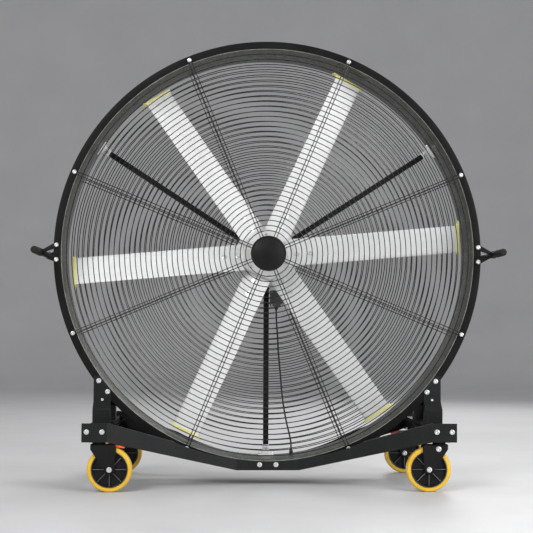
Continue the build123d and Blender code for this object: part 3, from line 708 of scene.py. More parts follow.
STATOR_RADIUS = 0.152
STATOR_FRONT_RADIUS = 0.116
STATOR_FRONT = 0.045
STATOR_BACK = 0.095
STATOR_SHOULDER = 0.026
GROOVE_STARTS = (0.0725, 0.0775, 0.0825, 0.0875)
GROOVE_DEPTH = 0.003
COVER_RADIUS = 0.052
COVER_FACE = STATOR_BACK + 0.008
SPINDLE_RADIUS = 0.0249
SPINDLE_FRONT = -0.050
STRUT_BACK = STATOR_BACK + 0.040
STRUT_ANGLES = (33.0, 147.0, 270.0)
COVER_BOLT = (0.010, 0.004, 0)
COVER_BOLT_CIRCLE = 0.041
STRUT_BOLT = (0.013, 0.006, 0.010)
STRUT_BOLT_CIRCLES = (0.085, 0.128)


def stator_profile():
    """Spindle, front face with a sunk ring, a round shoulder, four cooling grooves, rear cover."""
    shoulder = [
        (
            STATOR_FRONT_RADIUS + (STATOR_RADIUS - STATOR_FRONT_RADIUS) * sin(angle),
            STATOR_FRONT + STATOR_SHOULDER * (1 - cos(angle)),
        )
        for angle in spaced(0, pi / 2, 8)
    ]
    floor = STATOR_RADIUS - GROOVE_DEPTH
    grooves = []
    for start in GROOVE_STARTS:
        grooves += [
            (STATOR_RADIUS, start), (floor, start + 0.0005), (floor, start + 0.002),
            (STATOR_RADIUS, start + 0.0025),
        ]
    return [
        (0, SPINDLE_FRONT), (SPINDLE_RADIUS - 0.0015, SPINDLE_FRONT),
        (SPINDLE_RADIUS, SPINDLE_FRONT + 0.0015), (SPINDLE_RADIUS, STATOR_FRONT),
        (0.046, STATOR_FRONT), (0.047, STATOR_FRONT + 0.002), (0.098, STATOR_FRONT + 0.002),
        (0.099, STATOR_FRONT), *shoulder, *grooves, (STATOR_RADIUS, STATOR_BACK - 0.0025),
        (STATOR_RADIUS - 0.0025, STATOR_BACK), (COVER_RADIUS, STATOR_BACK),
        (COVER_RADIUS, COVER_FACE - 0.002), (COVER_RADIUS - 0.002, COVER_FACE),
        (0.018, COVER_FACE), (0.016, COVER_FACE - 0.002), (0, COVER_FACE - 0.002),
    ]


stator = bmesh.new()
add_lathe(stator, stator_profile(), BACKWARDS)
finish_piece("motor_housing", stator, "frame", MOTOR_PAINT, ["motor_stator"])

motor_bolts = bmesh.new()
for angle in range(30, 390, 60):
    add_bolt(motor_bolts, outward(1, *on_circle(COVER_BOLT_CIRCLE, angle), COVER_FACE), COVER_BOLT)
for angle in STRUT_ANGLES:
    for radius in STRUT_BOLT_CIRCLES:
        add_bolt(motor_bolts, outward(1, *on_circle(radius, angle), STRUT_BACK), STRUT_BOLT)
finish_piece("motor_bolts", motor_bolts, "frame", FASTENER)


# ---------------- strut feet

FOOT_SEAT = SHELL_RADIUS - 0.0005
FOOT_HALF = 0.023
FOOT_SIDE = [(0.9372, 0.0155), (0.9475, 0.0178), (0.9545, FOOT_HALF)]
FLANGE_HALF = 0.037
FLANGE_PLATE = 0.0045
SOCKET_START = 0.910
SOCKET_END = 0.9380
SOCKET_HALF = 0.0157
FOOT_BACK = -STRUT_BACK - 0.003
FOOT_FRONT = -STATOR_BACK + 0.003
FOOT_BOLT = (0.013, 0.006, 0.0095)
FOOT_BOLT_RADIUS = 0.924
WALL_BOLT = (0.010, 0.005, 0.008)
WALL_BOLT_ACROSS = (-0.030, 0.030)
WALL_BOLT_DEPTHS = (0.104, 0.126)
WALL_NUT = 0.0062


def along_wall(radius, across):
    """Local x of a point on a wall of that radius, that far to one side of the spoke."""
    return sqrt(radius**2 - across**2)


def strut_foot():
    """Socket round a strut's end, on a pad that flares to the drum's wall. Local x runs out."""
    foot = bmesh.new()
    arc = [(along_wall(FOOT_SEAT, y), y) for y in spaced(FOOT_HALF, -FOOT_HALF, 8)]
    pad = [*FOOT_SIDE, *arc, *((x, -y) for x, y in reversed(FOOT_SIDE))]
    add_part(foot, prism(pad, -STRUT_BACK, -STATOR_BACK, bevel=0.0016))
    flange = [
        (along_wall(FOOT_SEAT, y) - 0.0002, y) for y in spaced(-FLANGE_HALF, FLANGE_HALF, 12)
    ]
    flange += [(x - FLANGE_PLATE, y) for x, y in reversed(flange)]
    add_part(foot, prism(flange, FOOT_BACK, FOOT_FRONT, bevel=0.0012))
    add_part(foot, block((SOCKET_START, -SOCKET_HALF, FOOT_BACK),
                         (SOCKET_END, SOCKET_HALF, FOOT_FRONT), 0.0025))
    return foot


feet = bmesh.new()
foot_bolts = bmesh.new()
for angle in STRUT_ANGLES:
    place = spoke_place(angle)
    add_part(feet, strut_foot(), place)
    add_bolt(foot_bolts, place @ place_at((FOOT_BOLT_RADIUS, 0, FOOT_FRONT)), FOOT_BOLT)
    for across in WALL_BOLT_ACROSS:
        for depth in WALL_BOLT_DEPTHS:
            seat = (along_wall(WALL_OUTER, across) - 0.0002, across, -depth)
            add_bolt(foot_bolts, place @ place_at(seat, Z_WAY, X_WAY), WALL_BOLT)
            seat = (along_wall(SHELL_RADIUS, across) - 0.0052, across, -depth)
            nut = prism(circle_outline(WALL_NUT, 6), 0, 0.0045, bevel=0.0006)
            add_part(foot_bolts, nut, place @ place_at(seat, Z_WAY, -X_WAY))
finish_piece("strut_foot_castings", feet, "frame", FOOT_METAL, ["strut_feet"])
finish_piece("strut_foot_bolts", foot_bolts, "frame", FASTENER)


# ---------------- terminal box

# BOX_LOW and NECK_LOW are heights above the fan's axis, BOX_BOTTOM is above the floor, and LID_RIBS
# and LID_HEIGHT are above BOX_LOW. Depths run forwards.
BOX_LEFT = 0.018
BOX_RIGHT = 0.078
BOX_FRONT = -0.058
BOX_BACK = -0.118
BOX_BOTTOM = 0.833
BOX_LOW = BOX_BOTTOM - AXIS_HEIGHT
BOX_SEAT = STATOR_RADIUS + 0.0005
NECK_LOW = 0.911 - AXIS_HEIGHT
LID = 0.004
LID_HEIGHT = 0.0765
LID_RIBS = (0.0205, 0.03825, 0.056)
RIB_INSET = 0.014
RIB_HALF = 0.0015
SCREW_INSET = 0.007
BOX_SCREW = (0.0065, 0.0022, 0)

neck = bmesh.new()
curve = [(x, -sqrt(BOX_SEAT**2 - x**2)) for x in spaced(BOX_RIGHT, BOX_LEFT, 10)]
add_part(neck, prism([(BOX_LEFT, NECK_LOW), (BOX_RIGHT, NECK_LOW), *curve], BOX_BACK, BOX_FRONT,
                     bevel=0.002, segments=3), FORWARDS)
finish_piece("terminal_box_neck", neck, "frame", MOTOR_PAINT)

box = bmesh.new()
body_outline = rectangle(BOX_LEFT, BOX_LOW, BOX_RIGHT, NECK_LOW - 0.0004)
add_part(box, prism(body_outline, BOX_BACK, BOX_FRONT - LID - 0.0006, bevel=0.003, segments=3),
         FORWARDS)
lid_outline = rounded_outline(
    rectangle(BOX_LEFT, BOX_LOW, BOX_RIGHT, BOX_LOW + LID_HEIGHT), 0.004, steps=4,
)
add_part(box, prism(lid_outline, BOX_FRONT - LID, BOX_FRONT, bevel=0.0012), FORWARDS)
for height in LID_RIBS:
    middle = BOX_LOW + height
    add_part(box, block((BOX_LEFT + RIB_INSET, middle - RIB_HALF, BOX_FRONT - 0.0005),
                        (BOX_RIGHT - RIB_INSET, middle + RIB_HALF, BOX_FRONT + 0.0012), 0.0006),
             FORWARDS)
finish_piece("terminal_box_shell", box, "frame", BOX_PAINT, ["terminal_box"])

box_screws = bmesh.new()
for x in (BOX_LEFT + SCREW_INSET, BOX_RIGHT - SCREW_INSET):
    for height in (SCREW_INSET, LID_HEIGHT - SCREW_INSET):
        add_bolt(box_screws, FORWARDS @ place_at((x, BOX_LOW + height, BOX_FRONT)), BOX_SCREW)
finish_piece("terminal_box_screws", box_screws, "frame", FASTENER)


# ---------------- motor lead

LEAD_DEPTH = 0.141
LEAD_ROUTE = [
    (0.048, 0.088, 0.817),
    (0.048, 0.088, 0.769),
    (0.058, LEAD_DEPTH, 0.689),
    (0.060, LEAD_DEPTH, 0.622),
    (0.072, LEAD_DEPTH, 0.500),
    (0.080, LEAD_DEPTH, 0.398),
    (0.097, LEAD_DEPTH, 0.290),
    (0.118, 0.135, 0.205),
    (0.123, 0.110, 0.1759),
    (0.123, 0.110, 0.1419),
]
LEAD_RADIUS = 0.004
GLAND_LENGTH = 0.016
GLAND_NUT = 0.009
GLAND_NUT_HEIGHT = 0.0065
GLAND_PROFILE = [
    (0.0072, 0.0065), (0.0086, 0.0068), (0.0088, 0.0075), (0.0088, 0.0095), (0.0078, 0.0125),
    (0.0062, 0.0152), (0.0045, GLAND_LENGTH), (0.0041, 0.0158),
]
GLAND_RIDGE = ((0.0085, 0.0070), (0.0085, 0.0095), (0.0076, 0.0122))
TIE_RINGS = (14, 17, 22, 27)
TIE_HALF_WIDTH = 0.0056
TIE_HALF_DEPTH = 0.0072
TIE_STRAP = 0.0008

glands = bmesh.new()
lead_exit = Vector(LEAD_ROUTE[-1])
box_gland = Vector((*LEAD_ROUTE[0][:2], BOX_BOTTOM))
floor_gland = lead_exit - GLAND_LENGTH * Z_WAY
drum_floor = AXIS_HEIGHT - along_wall(SHELL_RADIUS, lead_exit.x)
for place, nut_start in (
    (place_at(box_gland, X_WAY, -Z_WAY), 0.0),
    (place_at(floor_gland), drum_floor - floor_gland.z - 0.0012),
):
    nut = prism(circle_outline(GLAND_NUT, 6), nut_start, GLAND_NUT_HEIGHT, bevel=0.0005)
    add_part(glands, nut, place)
    add_lathe(glands, GLAND_PROFILE, place, 24)
    for angle in full_turn(8):
        add_tube(glands, [
            place @ Vector((*polar(radius, angle), height)) for radius, height in GLAND_RIDGE
        ], 0.0005, sides=6)
finish_piece("cable_glands", glands, "frame", GLAND_PLASTIC, ["lead_glands"])


def build_lead():
    """The motor's lead: one smooth spline through its clamped route."""
    slot, material = CABLE_RUBBER
    data = bpy.data.curves.new("motor_lead_cable", "CURVE")
    data.dimensions = "3D"
    data.bevel_depth = LEAD_RADIUS
    data.bevel_resolution = 4
    data.resolution_u = 16
    data.use_fill_caps = True
    spline = data.splines.new("NURBS")
    spline.points.add(len(LEAD_ROUTE) - 1)
    for point, place in zip(spline.points, LEAD_ROUTE):
        point.co = (*place, 1)
    spline.use_endpoint_u = True
    spline.order_u = 3
    data.materials.append(material)
    lead = link_object("motor_lead_cable", data)
    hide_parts("motor_lead")
    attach(lead, "frame")


build_lead()


def lead_across(height):
    """x of the lead at that height, from the straight runs of its route."""
    for first, second in zip(LEAD_ROUTE, LEAD_ROUTE[1:]):
        if second[2] <= height <= first[2]:
            share = (first[2] - height) / (first[2] - second[2])
            return first[0] + share * (second[0] - first[0])
    return LEAD_ROUTE[0][0]


ties = bmesh.new()
slant = Vector((1, 0, 1)).normalized()
for number in TIE_RINGS:
    radius = ring_radius(number)
    x = lead_across(AXIS_HEIGHT - radius)
    middle = Vector((
        x, (LEAD_DEPTH - LEAD_RADIUS + RING_DEPTH + WIRE_RADIUS) / 2,
        AXIS_HEIGHT - along_wall(radius, x),
    ))
    add_tube(ties, [
        middle + slant * TIE_HALF_WIDTH * cos(angle) + Y_WAY * TIE_HALF_DEPTH * sin(angle)
        for angle in full_turn(24)
    ], TIE_STRAP, closed=True)
    add_part(ties, block((-0.0022, -0.0018, -0.0016), (0.0022, 0.0018, 0.0016), 0.0005),
             place_at(middle + slant * (TIE_HALF_WIDTH + TIE_STRAP), Y_WAY, slant))
finish_piece("lead_ties", ties, "frame", GLAND_PLASTIC)


# ---------------- blades

BLADE_ANGLES = [5.0 + 60 * turn for turn in range(6)]
BLADE_PITCH = radians(22)
BLADE_DEPTH = -0.020
TAIL = -0.070
NOSE = 0.070
CROWN = 0.020
DIE_GROOVES = (-0.047, -0.034, 0.048)
DIE_GROOVE_HALF = 0.0009
BLADE_ROOT = 0.112
BLADE_TIP = 0.920
SPAR_LEFT = -0.022
SPAR_RIGHT = 0.036
SPAR_MIDDLE = (SPAR_LEFT + SPAR_RIGHT) / 2
SPAR_FLOOR = 0.0035
SPAR_TOP = 0.0135
COLLAR_REACH = 0.008
FIN_BOLT_ACROSS = 0.019


def blade_place(angle):
    """Local x runs up the chord to the leading edge, z out along the span, and y out of the
    crowned face, which is turned away from the outlet."""
    turn = radians(angle)
    span = Vector((cos(turn), 0, sin(turn)))
    travel = Vector((sin(turn), 0, -cos(turn)))
    chord = travel * cos(BLADE_PITCH) + Y_WAY * sin(BLADE_PITCH)
    return place_at((0, BLADE_DEPTH, AXIS_HEIGHT), chord, span)


def blade_outline():
    """Extruded section: flat working face with three die grooves, round nose, crowned back."""
    points = [(TAIL, 0.0)]
    for groove in DIE_GROOVES:
        points += [(groove - DIE_GROOVE_HALF, 0.0), (groove, 0.0007),
                   (groove + DIE_GROOVE_HALF, 0.0)]
    heel = (NOSE - 0.010, 0.0)
    shoulder = (NOSE - 0.012, CROWN - 0.003)
    points += arc_through(heel, (NOSE, 0.009), shoulder, 14)
    points += arc_through(shoulder, (0.0, CROWN), (TAIL, 0.0016), 28)[1:]
    return points


BLADE_OUTLINE = blade_outline()
CHAMBER = rounded_outline(rectangle(SPAR_LEFT, SPAR_FLOOR, SPAR_RIGHT, SPAR_TOP), 0.001, steps=2)
FIN_OUTLINE = rounded_outline(
    rectangle(TAIL - 0.020, -0.006, NOSE + 0.006, CROWN + 0.008), 0.009,
)
FIN_INNER = [(x * 0.9 - 0.0007, 0.011 + (y - 0.011) * 0.72) for x, y in FIN_OUTLINE]
COLLAR_OUTLINE = rounded_outline(
    rectangle(TAIL - 0.004, -0.0032, NOSE + 0.0032, CROWN + 0.0030), 0.002, steps=4,
)
COLLAR_BORE = [(x * 1.004, y * 1.03 - 0.0002) for x, y in BLADE_OUTLINE]
FIN_RIVET = ((0, 0.0022), (0.0028, 0.0021), (0.0042, 0.0014), (0.0046, 0))

for number, angle in enumerate(BLADE_ANGLES, start=1):
    place = blade_place(angle)
    skin = bmesh.new()
    add_part(skin, prism(BLADE_OUTLINE, BLADE_ROOT, BLADE_TIP, holes=[CHAMBER]), place)
    aluminium = brushed_blade(f"blade_{number}_aluminium", radians(angle))
    finish_piece(f"blade_{number}_skin", skin, "impeller", ("blade_aluminium", aluminium),
                 [f"blade_{number}"], smooth=28)

    fin = bmesh.new()
    for outline, low, high, bevel, holes in (
        (FIN_OUTLINE, 0.0002, 0.004, 0.0012, []),
        (COLLAR_OUTLINE, -COLLAR_REACH, 0.0004, 0.0008, [COLLAR_BORE]),
        (FIN_OUTLINE, 0.0038, 0.0062, 0.0009, [FIN_INNER]),
    ):
        add_part(fin, prism(outline, BLADE_TIP + low, BLADE_TIP + high, bevel, holes=holes), place)
    for side in BOTH:
        seat = (SPAR_MIDDLE + side * FIN_BOLT_ACROSS, 0.0085, BLADE_TIP + 0.004)
        add_lathe(fin, FIN_RIVET, place @ Matrix.Translation(seat), 20)
    finish_piece(f"tip_fin_{number}_moulding", fin, "impeller", FIN_PLASTIC,
                 [f"tip_fin_{number}"])


# ---------------- rotor

ROTOR_APOTHEM = 0.108
ROTOR_FRONT = 0.068
ROTOR_BACK = -0.042
COVER_SEAT = 0.053
# The cover's loops: the share of the rotor's outline, and the height above COVER_SEAT.
COVER_LOOPS = (
    (0.996, 0.0003), (0.998, 0.0012), (0.998, 0.0045), (0.985, 0.0085), (0.955, 0.0120),
    (0.915, 0.0142), (0.880, 0.0150), (0.400, 0.0150),
)
BORE_GAP = 0.0007
ARM_GAP = 0.0004
ARM_ENDS = (0.100, 0.236)
CAP_SCREW = 0.0058
CAP_SOCKET = 0.0031
CAP_SCREW_CIRCLE = 0.099
BLADE_BOLT = (0.018, 0.006, 0.0125)
BLADE_BOLT_RADII = (0.142, 0.207)

hexagon = circle_outline(ROTOR_APOTHEM / cos(pi / 6), 6, turn=radians(BLADE_ANGLES[0] + 30))
ROTOR_OUTLINE = rounded_outline(hexagon, 0.014, steps=5)

rotor = bmesh.new()
add_part(rotor, prism(ROTOR_OUTLINE, ROTOR_BACK, COVER_SEAT, bevel=0.0012,
                      holes=[circle_outline(SPINDLE_RADIUS + BORE_GAP)]), FORWARDS)
join_loops(rotor, [
    [
        rotor.verts.new(FORWARDS @ Vector((x * share, y * share, COVER_SEAT + height)))
        for x, y in ROTOR_OUTLINE
    ]
    for share, height in COVER_LOOPS
])
for angle in BLADE_ANGLES:
    add_part(rotor, block((SPAR_LEFT + ARM_GAP, SPAR_FLOOR + ARM_GAP, ARM_ENDS[0]),
                          (SPAR_RIGHT - ARM_GAP, SPAR_TOP - ARM_GAP, ARM_ENDS[1]), 0.0008),
             blade_place(angle))
    add_part(rotor, block((SPAR_LEFT - 0.006, -0.001, ROTOR_APOTHEM - 0.001),
                          (SPAR_RIGHT + 0.006, 0.018, BLADE_ROOT - 0.0008), 0.0011),
             blade_place(angle))
finish_piece("rotor_casting", rotor, "impeller", MOTOR_PAINT, ["rotor_hub"], smooth=35)

cap_screws = bmesh.new()
root_bolts = bmesh.new()
for angle in BLADE_ANGLES:
    place = outward(-1, *on_circle(CAP_SCREW_CIRCLE, angle + 30), ROTOR_FRONT - 0.0005)
    cap = prism(circle_outline(CAP_SCREW, 24), 0, 0.005, bevel=0.0006,
                holes=[circle_outline(CAP_SOCKET, 6)])
    add_part(cap_screws, cap, place)
    add_lathe(cap_screws, [(0, 0.0018), (CAP_SOCKET + 0.0003, 0.0018)], place, 12)
    for radius in BLADE_BOLT_RADII:
        seat = blade_place(angle) @ place_at((SPAR_MIDDLE, 0, radius), Z_WAY, -Y_WAY)
        add_bolt(root_bolts, seat, BLADE_BOLT)
finish_piece("rotor_cap_screws", cap_screws, "impeller", FASTENER)
finish_piece("blade_root_bolts", root_bolts, "impeller", FASTENER, ["blade_bolts"])


# ---------------- base fasteners

COLUMN_FACE = 0.154
TAB_FACE = 0.420
COLUMN_SCREW = (0.011, 0.005, 0)
COLUMN_SCREW_PLACE = (0.7665, 0.3955, COLUMN_FACE)
FRAME_BOLT = (0.019, 0.008, 0.0117)
# x, z and depth of the bolts of the columns, the beam and its end tabs.
FRAME_BOLT_PLACES = (
    (0.784, 0.4824, COLUMN_FACE), (0.743, 0.4319, COLUMN_FACE), (0.038, 0.096, COLUMN_FACE),
    (0.744, 0.268, TAB_FACE), (0.812, 0.268, TAB_FACE),
)
RAIL_INNER = 0.724
STAY_PLATE = 0.004
STAY_HEIGHT = 0.250
STAY_TOE_ANGLE = radians(-51.8)
STAY_BOLT = (0.017, 0.007, 0.0105)
STAY_BOLT_DEPTHS = (-0.017, 0.017)

frame_bolts = bmesh.new()
for side, end in CORNERS.values():
    for kind, (x, z, depth) in (
        (COLUMN_SCREW, COLUMN_SCREW_PLACE), *((FRAME_BOLT, place) for place in FRAME_BOLT_PLACES),
    ):
        add_bolt(frame_bolts, outward(end, side * x, z, depth), kind)
finish_piece("frame_bolt_heads", frame_bolts, "frame", FASTENER, ["frame_bolts"])

stay_bolts = bmesh.new()
for side in BOTH:
    down = Vector((side * cos(STAY_TOE_ANGLE), 0, sin(STAY_TOE_ANGLE)))
    for y in STAY_BOLT_DEPTHS:
        seat = Vector((side * (RAIL_INNER - STAY_PLATE - 0.0003), y, STAY_HEIGHT))
        add_bolt(stay_bolts, place_at(seat, Y_WAY, (-side, 0, 0)), STAY_BOLT)
        seat = Vector((0, y, AXIS_HEIGHT)) + down * (WALL_OUTER + STAY_PLATE + 0.0006)
        add_bolt(stay_bolts, place_at(seat, Y_WAY, down), STAY_BOLT)
finish_piece("stay_bolt_heads", stay_bolts, "frame", FASTENER)


# ---------------- handles

HANDLE_X = 1.060
HANDLE_PLATE = 0.005
LOBE_X = 0.98641
LOBE_RADIUS = 0.013
EYE_NECK = 0.0065
EYE_RIM = 0.004
# How far each strap's lobe is above the eye, and how much thinner it is on each face.
STRAPS = ((0.034, 0.0001), (-0.034, 0.0002))
HANDLE_BOLT = (0.016, 0.006, 0.0102)
BAR_RADIUS = 0.014
BAR_GAP = 0.0001
GRIP_START = 0.237
GRIP_END = 0.360
GRIP_GROOVES = 18
GROOVE_PITCH = 0.0058
GROOVE_FLOOR = 0.0164
GROOVE_RIDGE = 0.0170

brackets = bmesh.new()
handle_bolts = bmesh.new()
for side, end in CORNERS.values():
    place = outward(end, depth=HALF_DEPTH)
    eye = (side * HANDLE_X, 0.0)
    for spread, lift in STRAPS:
        lobe = (side * LOBE_X, spread)
        strap = prism(strap_outline(lobe, LOBE_RADIUS, eye, EYE_NECK), lift, HANDLE_PLATE - lift,
                      bevel=0.0008)
        add_part(brackets, strap, place)
        add_bolt(handle_bolts, place @ place_at((*lobe, HANDLE_PLATE)), HANDLE_BOLT)
    ring = prism(circle_outline(BAR_RADIUS + EYE_RIM, 40, eye), 0, HANDLE_PLATE, bevel=0.0008,
                 holes=[circle_outline(BAR_RADIUS + BAR_GAP, 40, eye)])
    add_part(brackets, ring, place)
finish_piece("handle_bracket_plates", brackets, "frame", FRAME_PAINT, ["handle_brackets"])
finish_piece("handle_bolt_heads", handle_bolts, "frame", FASTENER, ["handle_bolts"])


def grip_profile():
    """A collar at the inner end, ridges along the grip, and a rounded outer end."""
    profile = [
        (BAR_RADIUS + BAR_GAP, GRIP_START), (0.0172, GRIP_START), (0.0178, GRIP_START + 0.0008),
        (0.0178, GRIP_START + 0.0032), (0.0166, GRIP_START + 0.0050),
    ]
    for turn in range(GRIP_GROOVES):
        start = GRIP_START + 0.008 + GROOVE_PITCH * turn
        profile += [
            (GROOVE_FLOOR, start), (GROOVE_RIDGE, start + 0.0009),
            (GROOVE_RIDGE, start + 0.0030), (GROOVE_FLOOR, start + 0.0039),
        ]
    return profile + [
        (0.0166, GRIP_END - 0.006), (0.0160, GRIP_END - 0.0025), (0.0142, GRIP_END - 0.0006),
        (0.012, GRIP_END), (0, GRIP_END),
    ]


grips = bmesh.new()
for side, end in CORNERS.values():
    add_lathe(grips, grip_profile(), outward(end, side * HANDLE_X), 32)
finish_piece("handle_grip_sleeves", grips, "frame", GRIP_RUBBER, ["handle_grips"])


# ---------------- casters

CASTER_X = 0.760
CASTER_Y = 0.375
WHEEL_TRAIL = 0.048
WHEEL_RADIUS = 0.100
CROWN_TOP = 0.211
CROWN_PLATE = 0.006
DISH_BOTTOM = 0.217
PLATE_TOP = 0.235
PLATE_BOTTOM = 0.229
LEG_INNER = 0.025
LEG_OUTER = 0.029
LEG_LOW = 0.075
FORK_BACK = -0.036
FORK_FRONT = 0.078
AXLE_BOSS = 0.020
AXLE_RADIUS = 0.008
KING_PIN_RADIUS = 0.008
PIN_GAP = 0.0004
KING_NUT = 0.0127
PEDAL_PIN = (0.070, 0.206)
PEDAL_PIN_RADIUS = 0.0040
PEDAL_TOE = (0.1115, 0.1968)
PEDAL_HALF = 0.018
BRAKED = ("front_left", "rear_right")
LOCK_NUT = (0.019, 0.008, 0.0125)
LOCK_NUT_PLACE = (0.006, 0.192)
AXLE_BOLT = (0.019, 0.007, 0.0120)
PLATE_BOLT = (0.010, 0.008, 0.0078)
PLATE_BOLT_HALF = (0.0395, 0.0255)

PLATE_OUTLINE = rounded_outline(rectangle(-0.048, -0.035, 0.048, 0.035), 0.009, steps=5)
RACE_PROFILE = [
    (KING_PIN_RADIUS + PIN_GAP, CROWN_TOP - 0.0002), (0.0262, CROWN_TOP - 0.0002),
    (0.0290, CROWN_TOP + 0.0006), (0.0300, CROWN_TOP + 0.0022), (0.0300, CROWN_TOP + 0.0034),
    (0.0288, CROWN_TOP + 0.0050), (0.0270, CROWN_TOP + 0.0056),
    (KING_PIN_RADIUS + PIN_GAP, CROWN_TOP + 0.0057),
]
DISH_PROFILE = [
    (KING_PIN_RADIUS, DISH_BOTTOM), (0.0275, DISH_BOTTOM), (0.0300, DISH_BOTTOM + 0.0004),
    (0.0325, DISH_BOTTOM + 0.0022), (0.0338, DISH_BOTTOM + 0.0050),
    (0.0340, DISH_BOTTOM + 0.0085), (0.0340, PLATE_BOTTOM), (0, PLATE_BOTTOM),
]
KING_PIN_PROFILE = [
    (KING_PIN_RADIUS, DISH_BOTTOM + 0.001), (KING_PIN_RADIUS, 0.1950),
    (KING_PIN_RADIUS - 0.0015, 0.1935), (0, 0.1935),
]
TREAD_ROUNDS = [0.0006, 0.004, 0.006]
TREAD_PROFILE = rounded_outline(
    mirrored([(0.0824, -0.0205), (0.0950, -0.0210), (WHEEL_RADIUS, -0.0150)]),
    TREAD_ROUNDS + TREAD_ROUNDS[::-1],
)
CORE_PROFILE = mirrored([
    (0.0820, 0.0175), (0.0812, 0.0190), (0.0770, 0.0190), (0.0758, 0.0182), (0.0738, 0.0048),
    (0.0728, 0.0040), (0.0245, 0.0040), (0.0232, 0.0052), (0.0218, 0.0200), (0.0208, 0.0208),
    (0.0160, 0.0208), (0.0154, 0.0192), (0.0092, 0.0192), (0.0083, 0.0186),
])
BAND_PROFILE = ((0.0790, 0.0189), (0.0792, 0.0195), (0.0806, 0.0195), (0.0810, 0.0189))
CORE_RIBS = 8
RIB_SIDE = 0.0018
RIB_ROOT = 0.0036
RIB_EDGE = 0.0158


def caster_place(side, end):
    """Local x runs from the swivel axis to the wheel, y is up, and z runs across the wheel."""
    return place_at((side * CASTER_X, end * CASTER_Y, 0), (-side, 0, 0), (0, side, 0))


def facing(place, face, depth, x=0.0, y=0.0):
    """Inside place: local z runs out of the face -1 or 1, that far from the middle, at x and y."""
    return place @ place_at((x, y, face * depth), X_WAY, face * Z_WAY)


def fork_pressing():
    """One pressed channel: crown and legs bent from a single plate, its legs cut to a taper."""
    under = CROWN_TOP - CROWN_PLATE
    channel = rounded_outline(
        [
            (-LEG_OUTER, LEG_LOW), (-LEG_INNER, LEG_LOW), (-LEG_INNER, under), (LEG_INNER, under),
            (LEG_INNER, LEG_LOW), (LEG_OUTER, LEG_LOW), (LEG_OUTER, CROWN_TOP),
            (-LEG_OUTER, CROWN_TOP),
        ],
        [0, 0, 0.003, 0.003, 0, 0, 0.008, 0.008], steps=5,
    )
    source = prism(channel, -0.040, 0.082)
    # The outline's x runs across the wheel, and the prism's height becomes the reach.
    source.transform(Matrix(((0, 0, 1, 0), (0, 1, 0, 0), (-1, 0, 0, 0), (0, 0, 0, 1))))
    side_view = hull_outline([
        (FORK_BACK, CROWN_TOP + 0.001), (0.066, CROWN_TOP + 0.001),
        (FORK_FRONT, CROWN_TOP - 0.009), (FORK_FRONT, CROWN_TOP - 0.021),
        (FORK_BACK, CROWN_TOP - 0.021),
        *circle_outline(AXLE_BOSS, 48, (WHEEL_TRAIL, WHEEL_RADIUS)),
    ])
    window = rectangle(0.060, CROWN_TOP - 0.012, 0.100, CROWN_TOP + 0.01)
    pin_hole = prism(circle_outline(KING_PIN_RADIUS + PIN_GAP), -0.01, 0.01)
    pin_hole.transform(place_at((0, CROWN_TOP, 0), X_WAY, Y_WAY))
    axle_hole = circle_outline(AXLE_RADIUS + PIN_GAP, 32, (WHEEL_TRAIL, WHEEL_RADIUS))
    return carved(
        source,
        ("INTERSECT", prism(side_view, -0.045, 0.045)),
        ("DIFFERENCE", prism(window, -LEG_INNER + 0.0004, LEG_INNER - 0.0004)),
        ("DIFFERENCE", pin_hole),
        ("DIFFERENCE", prism(axle_hole, -0.05, 0.05)),
    )


def wheel_core():
    """Moulded core: rim, web and bored hub in one turned section, with ribs on both sides."""
    core = bmesh.new()
    add_lathe(core, CORE_PROFILE, UNMOVED, 64, closed=True)
    for angle in full_turn(CORE_RIBS):
        for low, high in ((-RIB_EDGE, -RIB_ROOT), (RIB_ROOT, RIB_EDGE)):
            rib = block((0.0215, -RIB_SIDE, low), (0.0752, RIB_SIDE, high), 0.0007)
            add_part(core, rib, Matrix.Rotation(angle, 4, "Z"))
    return core


def core_highlight_lines(hub):
    """Painted highlight lines: one round each side of the core's rim, and one along each rib."""
    band = bmesh.new()
    for face in BOTH:
        add_lathe(band, [(radius, face * height) for radius, height in BAND_PROFILE], hub,
                  closed=True)
        for angle in full_turn(CORE_RIBS):
            spoke = hub @ Matrix.Rotation(angle, 4, "Z")
            add_tube(band, [
                spoke @ Vector((radius, 0, face * RIB_EDGE)) for radius in (0.0245, 0.0735)
            ], 0.0011)
    return band


def pedal_moulding():
    """Tapered pedal round its pin, with a turned-down toe and four grip ridges."""
    pedal = bmesh.new()
    outline = strap_outline(PEDAL_PIN, 0.0065, PEDAL_TOE, 0.0032)
    pin_hole = circle_outline(PEDAL_PIN_RADIUS + 0.00005, 24, PEDAL_PIN)
    add_part(pedal, prism(outline, -PEDAL_HALF, PEDAL_HALF, bevel=0.0014, segments=3,
                          holes=[pin_hole]))
    for step in range(4):
        share = 0.35 + 0.18 * step
        reach = PEDAL_PIN[0] + (PEDAL_TOE[0] - PEDAL_PIN[0]) * share
        top = PEDAL_PIN[1] + 0.0063 - 0.0123 * share
        add_tube(pedal, [(reach, top, -0.0155), (reach, top, 0.0155)], 0.0009)
    return pedal


def build_wheel(corner, hub):
    """Tyre, core and the painted highlight lines on the core, on the wheel's own body."""
    body = f"wheel_{corner}"
    tyre = bmesh.new()
    add_lathe(tyre, TREAD_PROFILE, hub, 128, closed=True)
    finish_piece(f"tyre_{corner}", tyre, body, TREAD, [f"tread_{corner}"])
    core = bmesh.new()
    add_part(core, wheel_core(), hub)
    finish_piece(f"core_{corner}", core, body, CORE_PLASTIC, [f"wheel_core_{corner}"])
    # The core's painted highlight lines.
    finish_piece(f"core_band_{corner}", core_highlight_lines(hub), body, CORE_HIGHLIGHT)


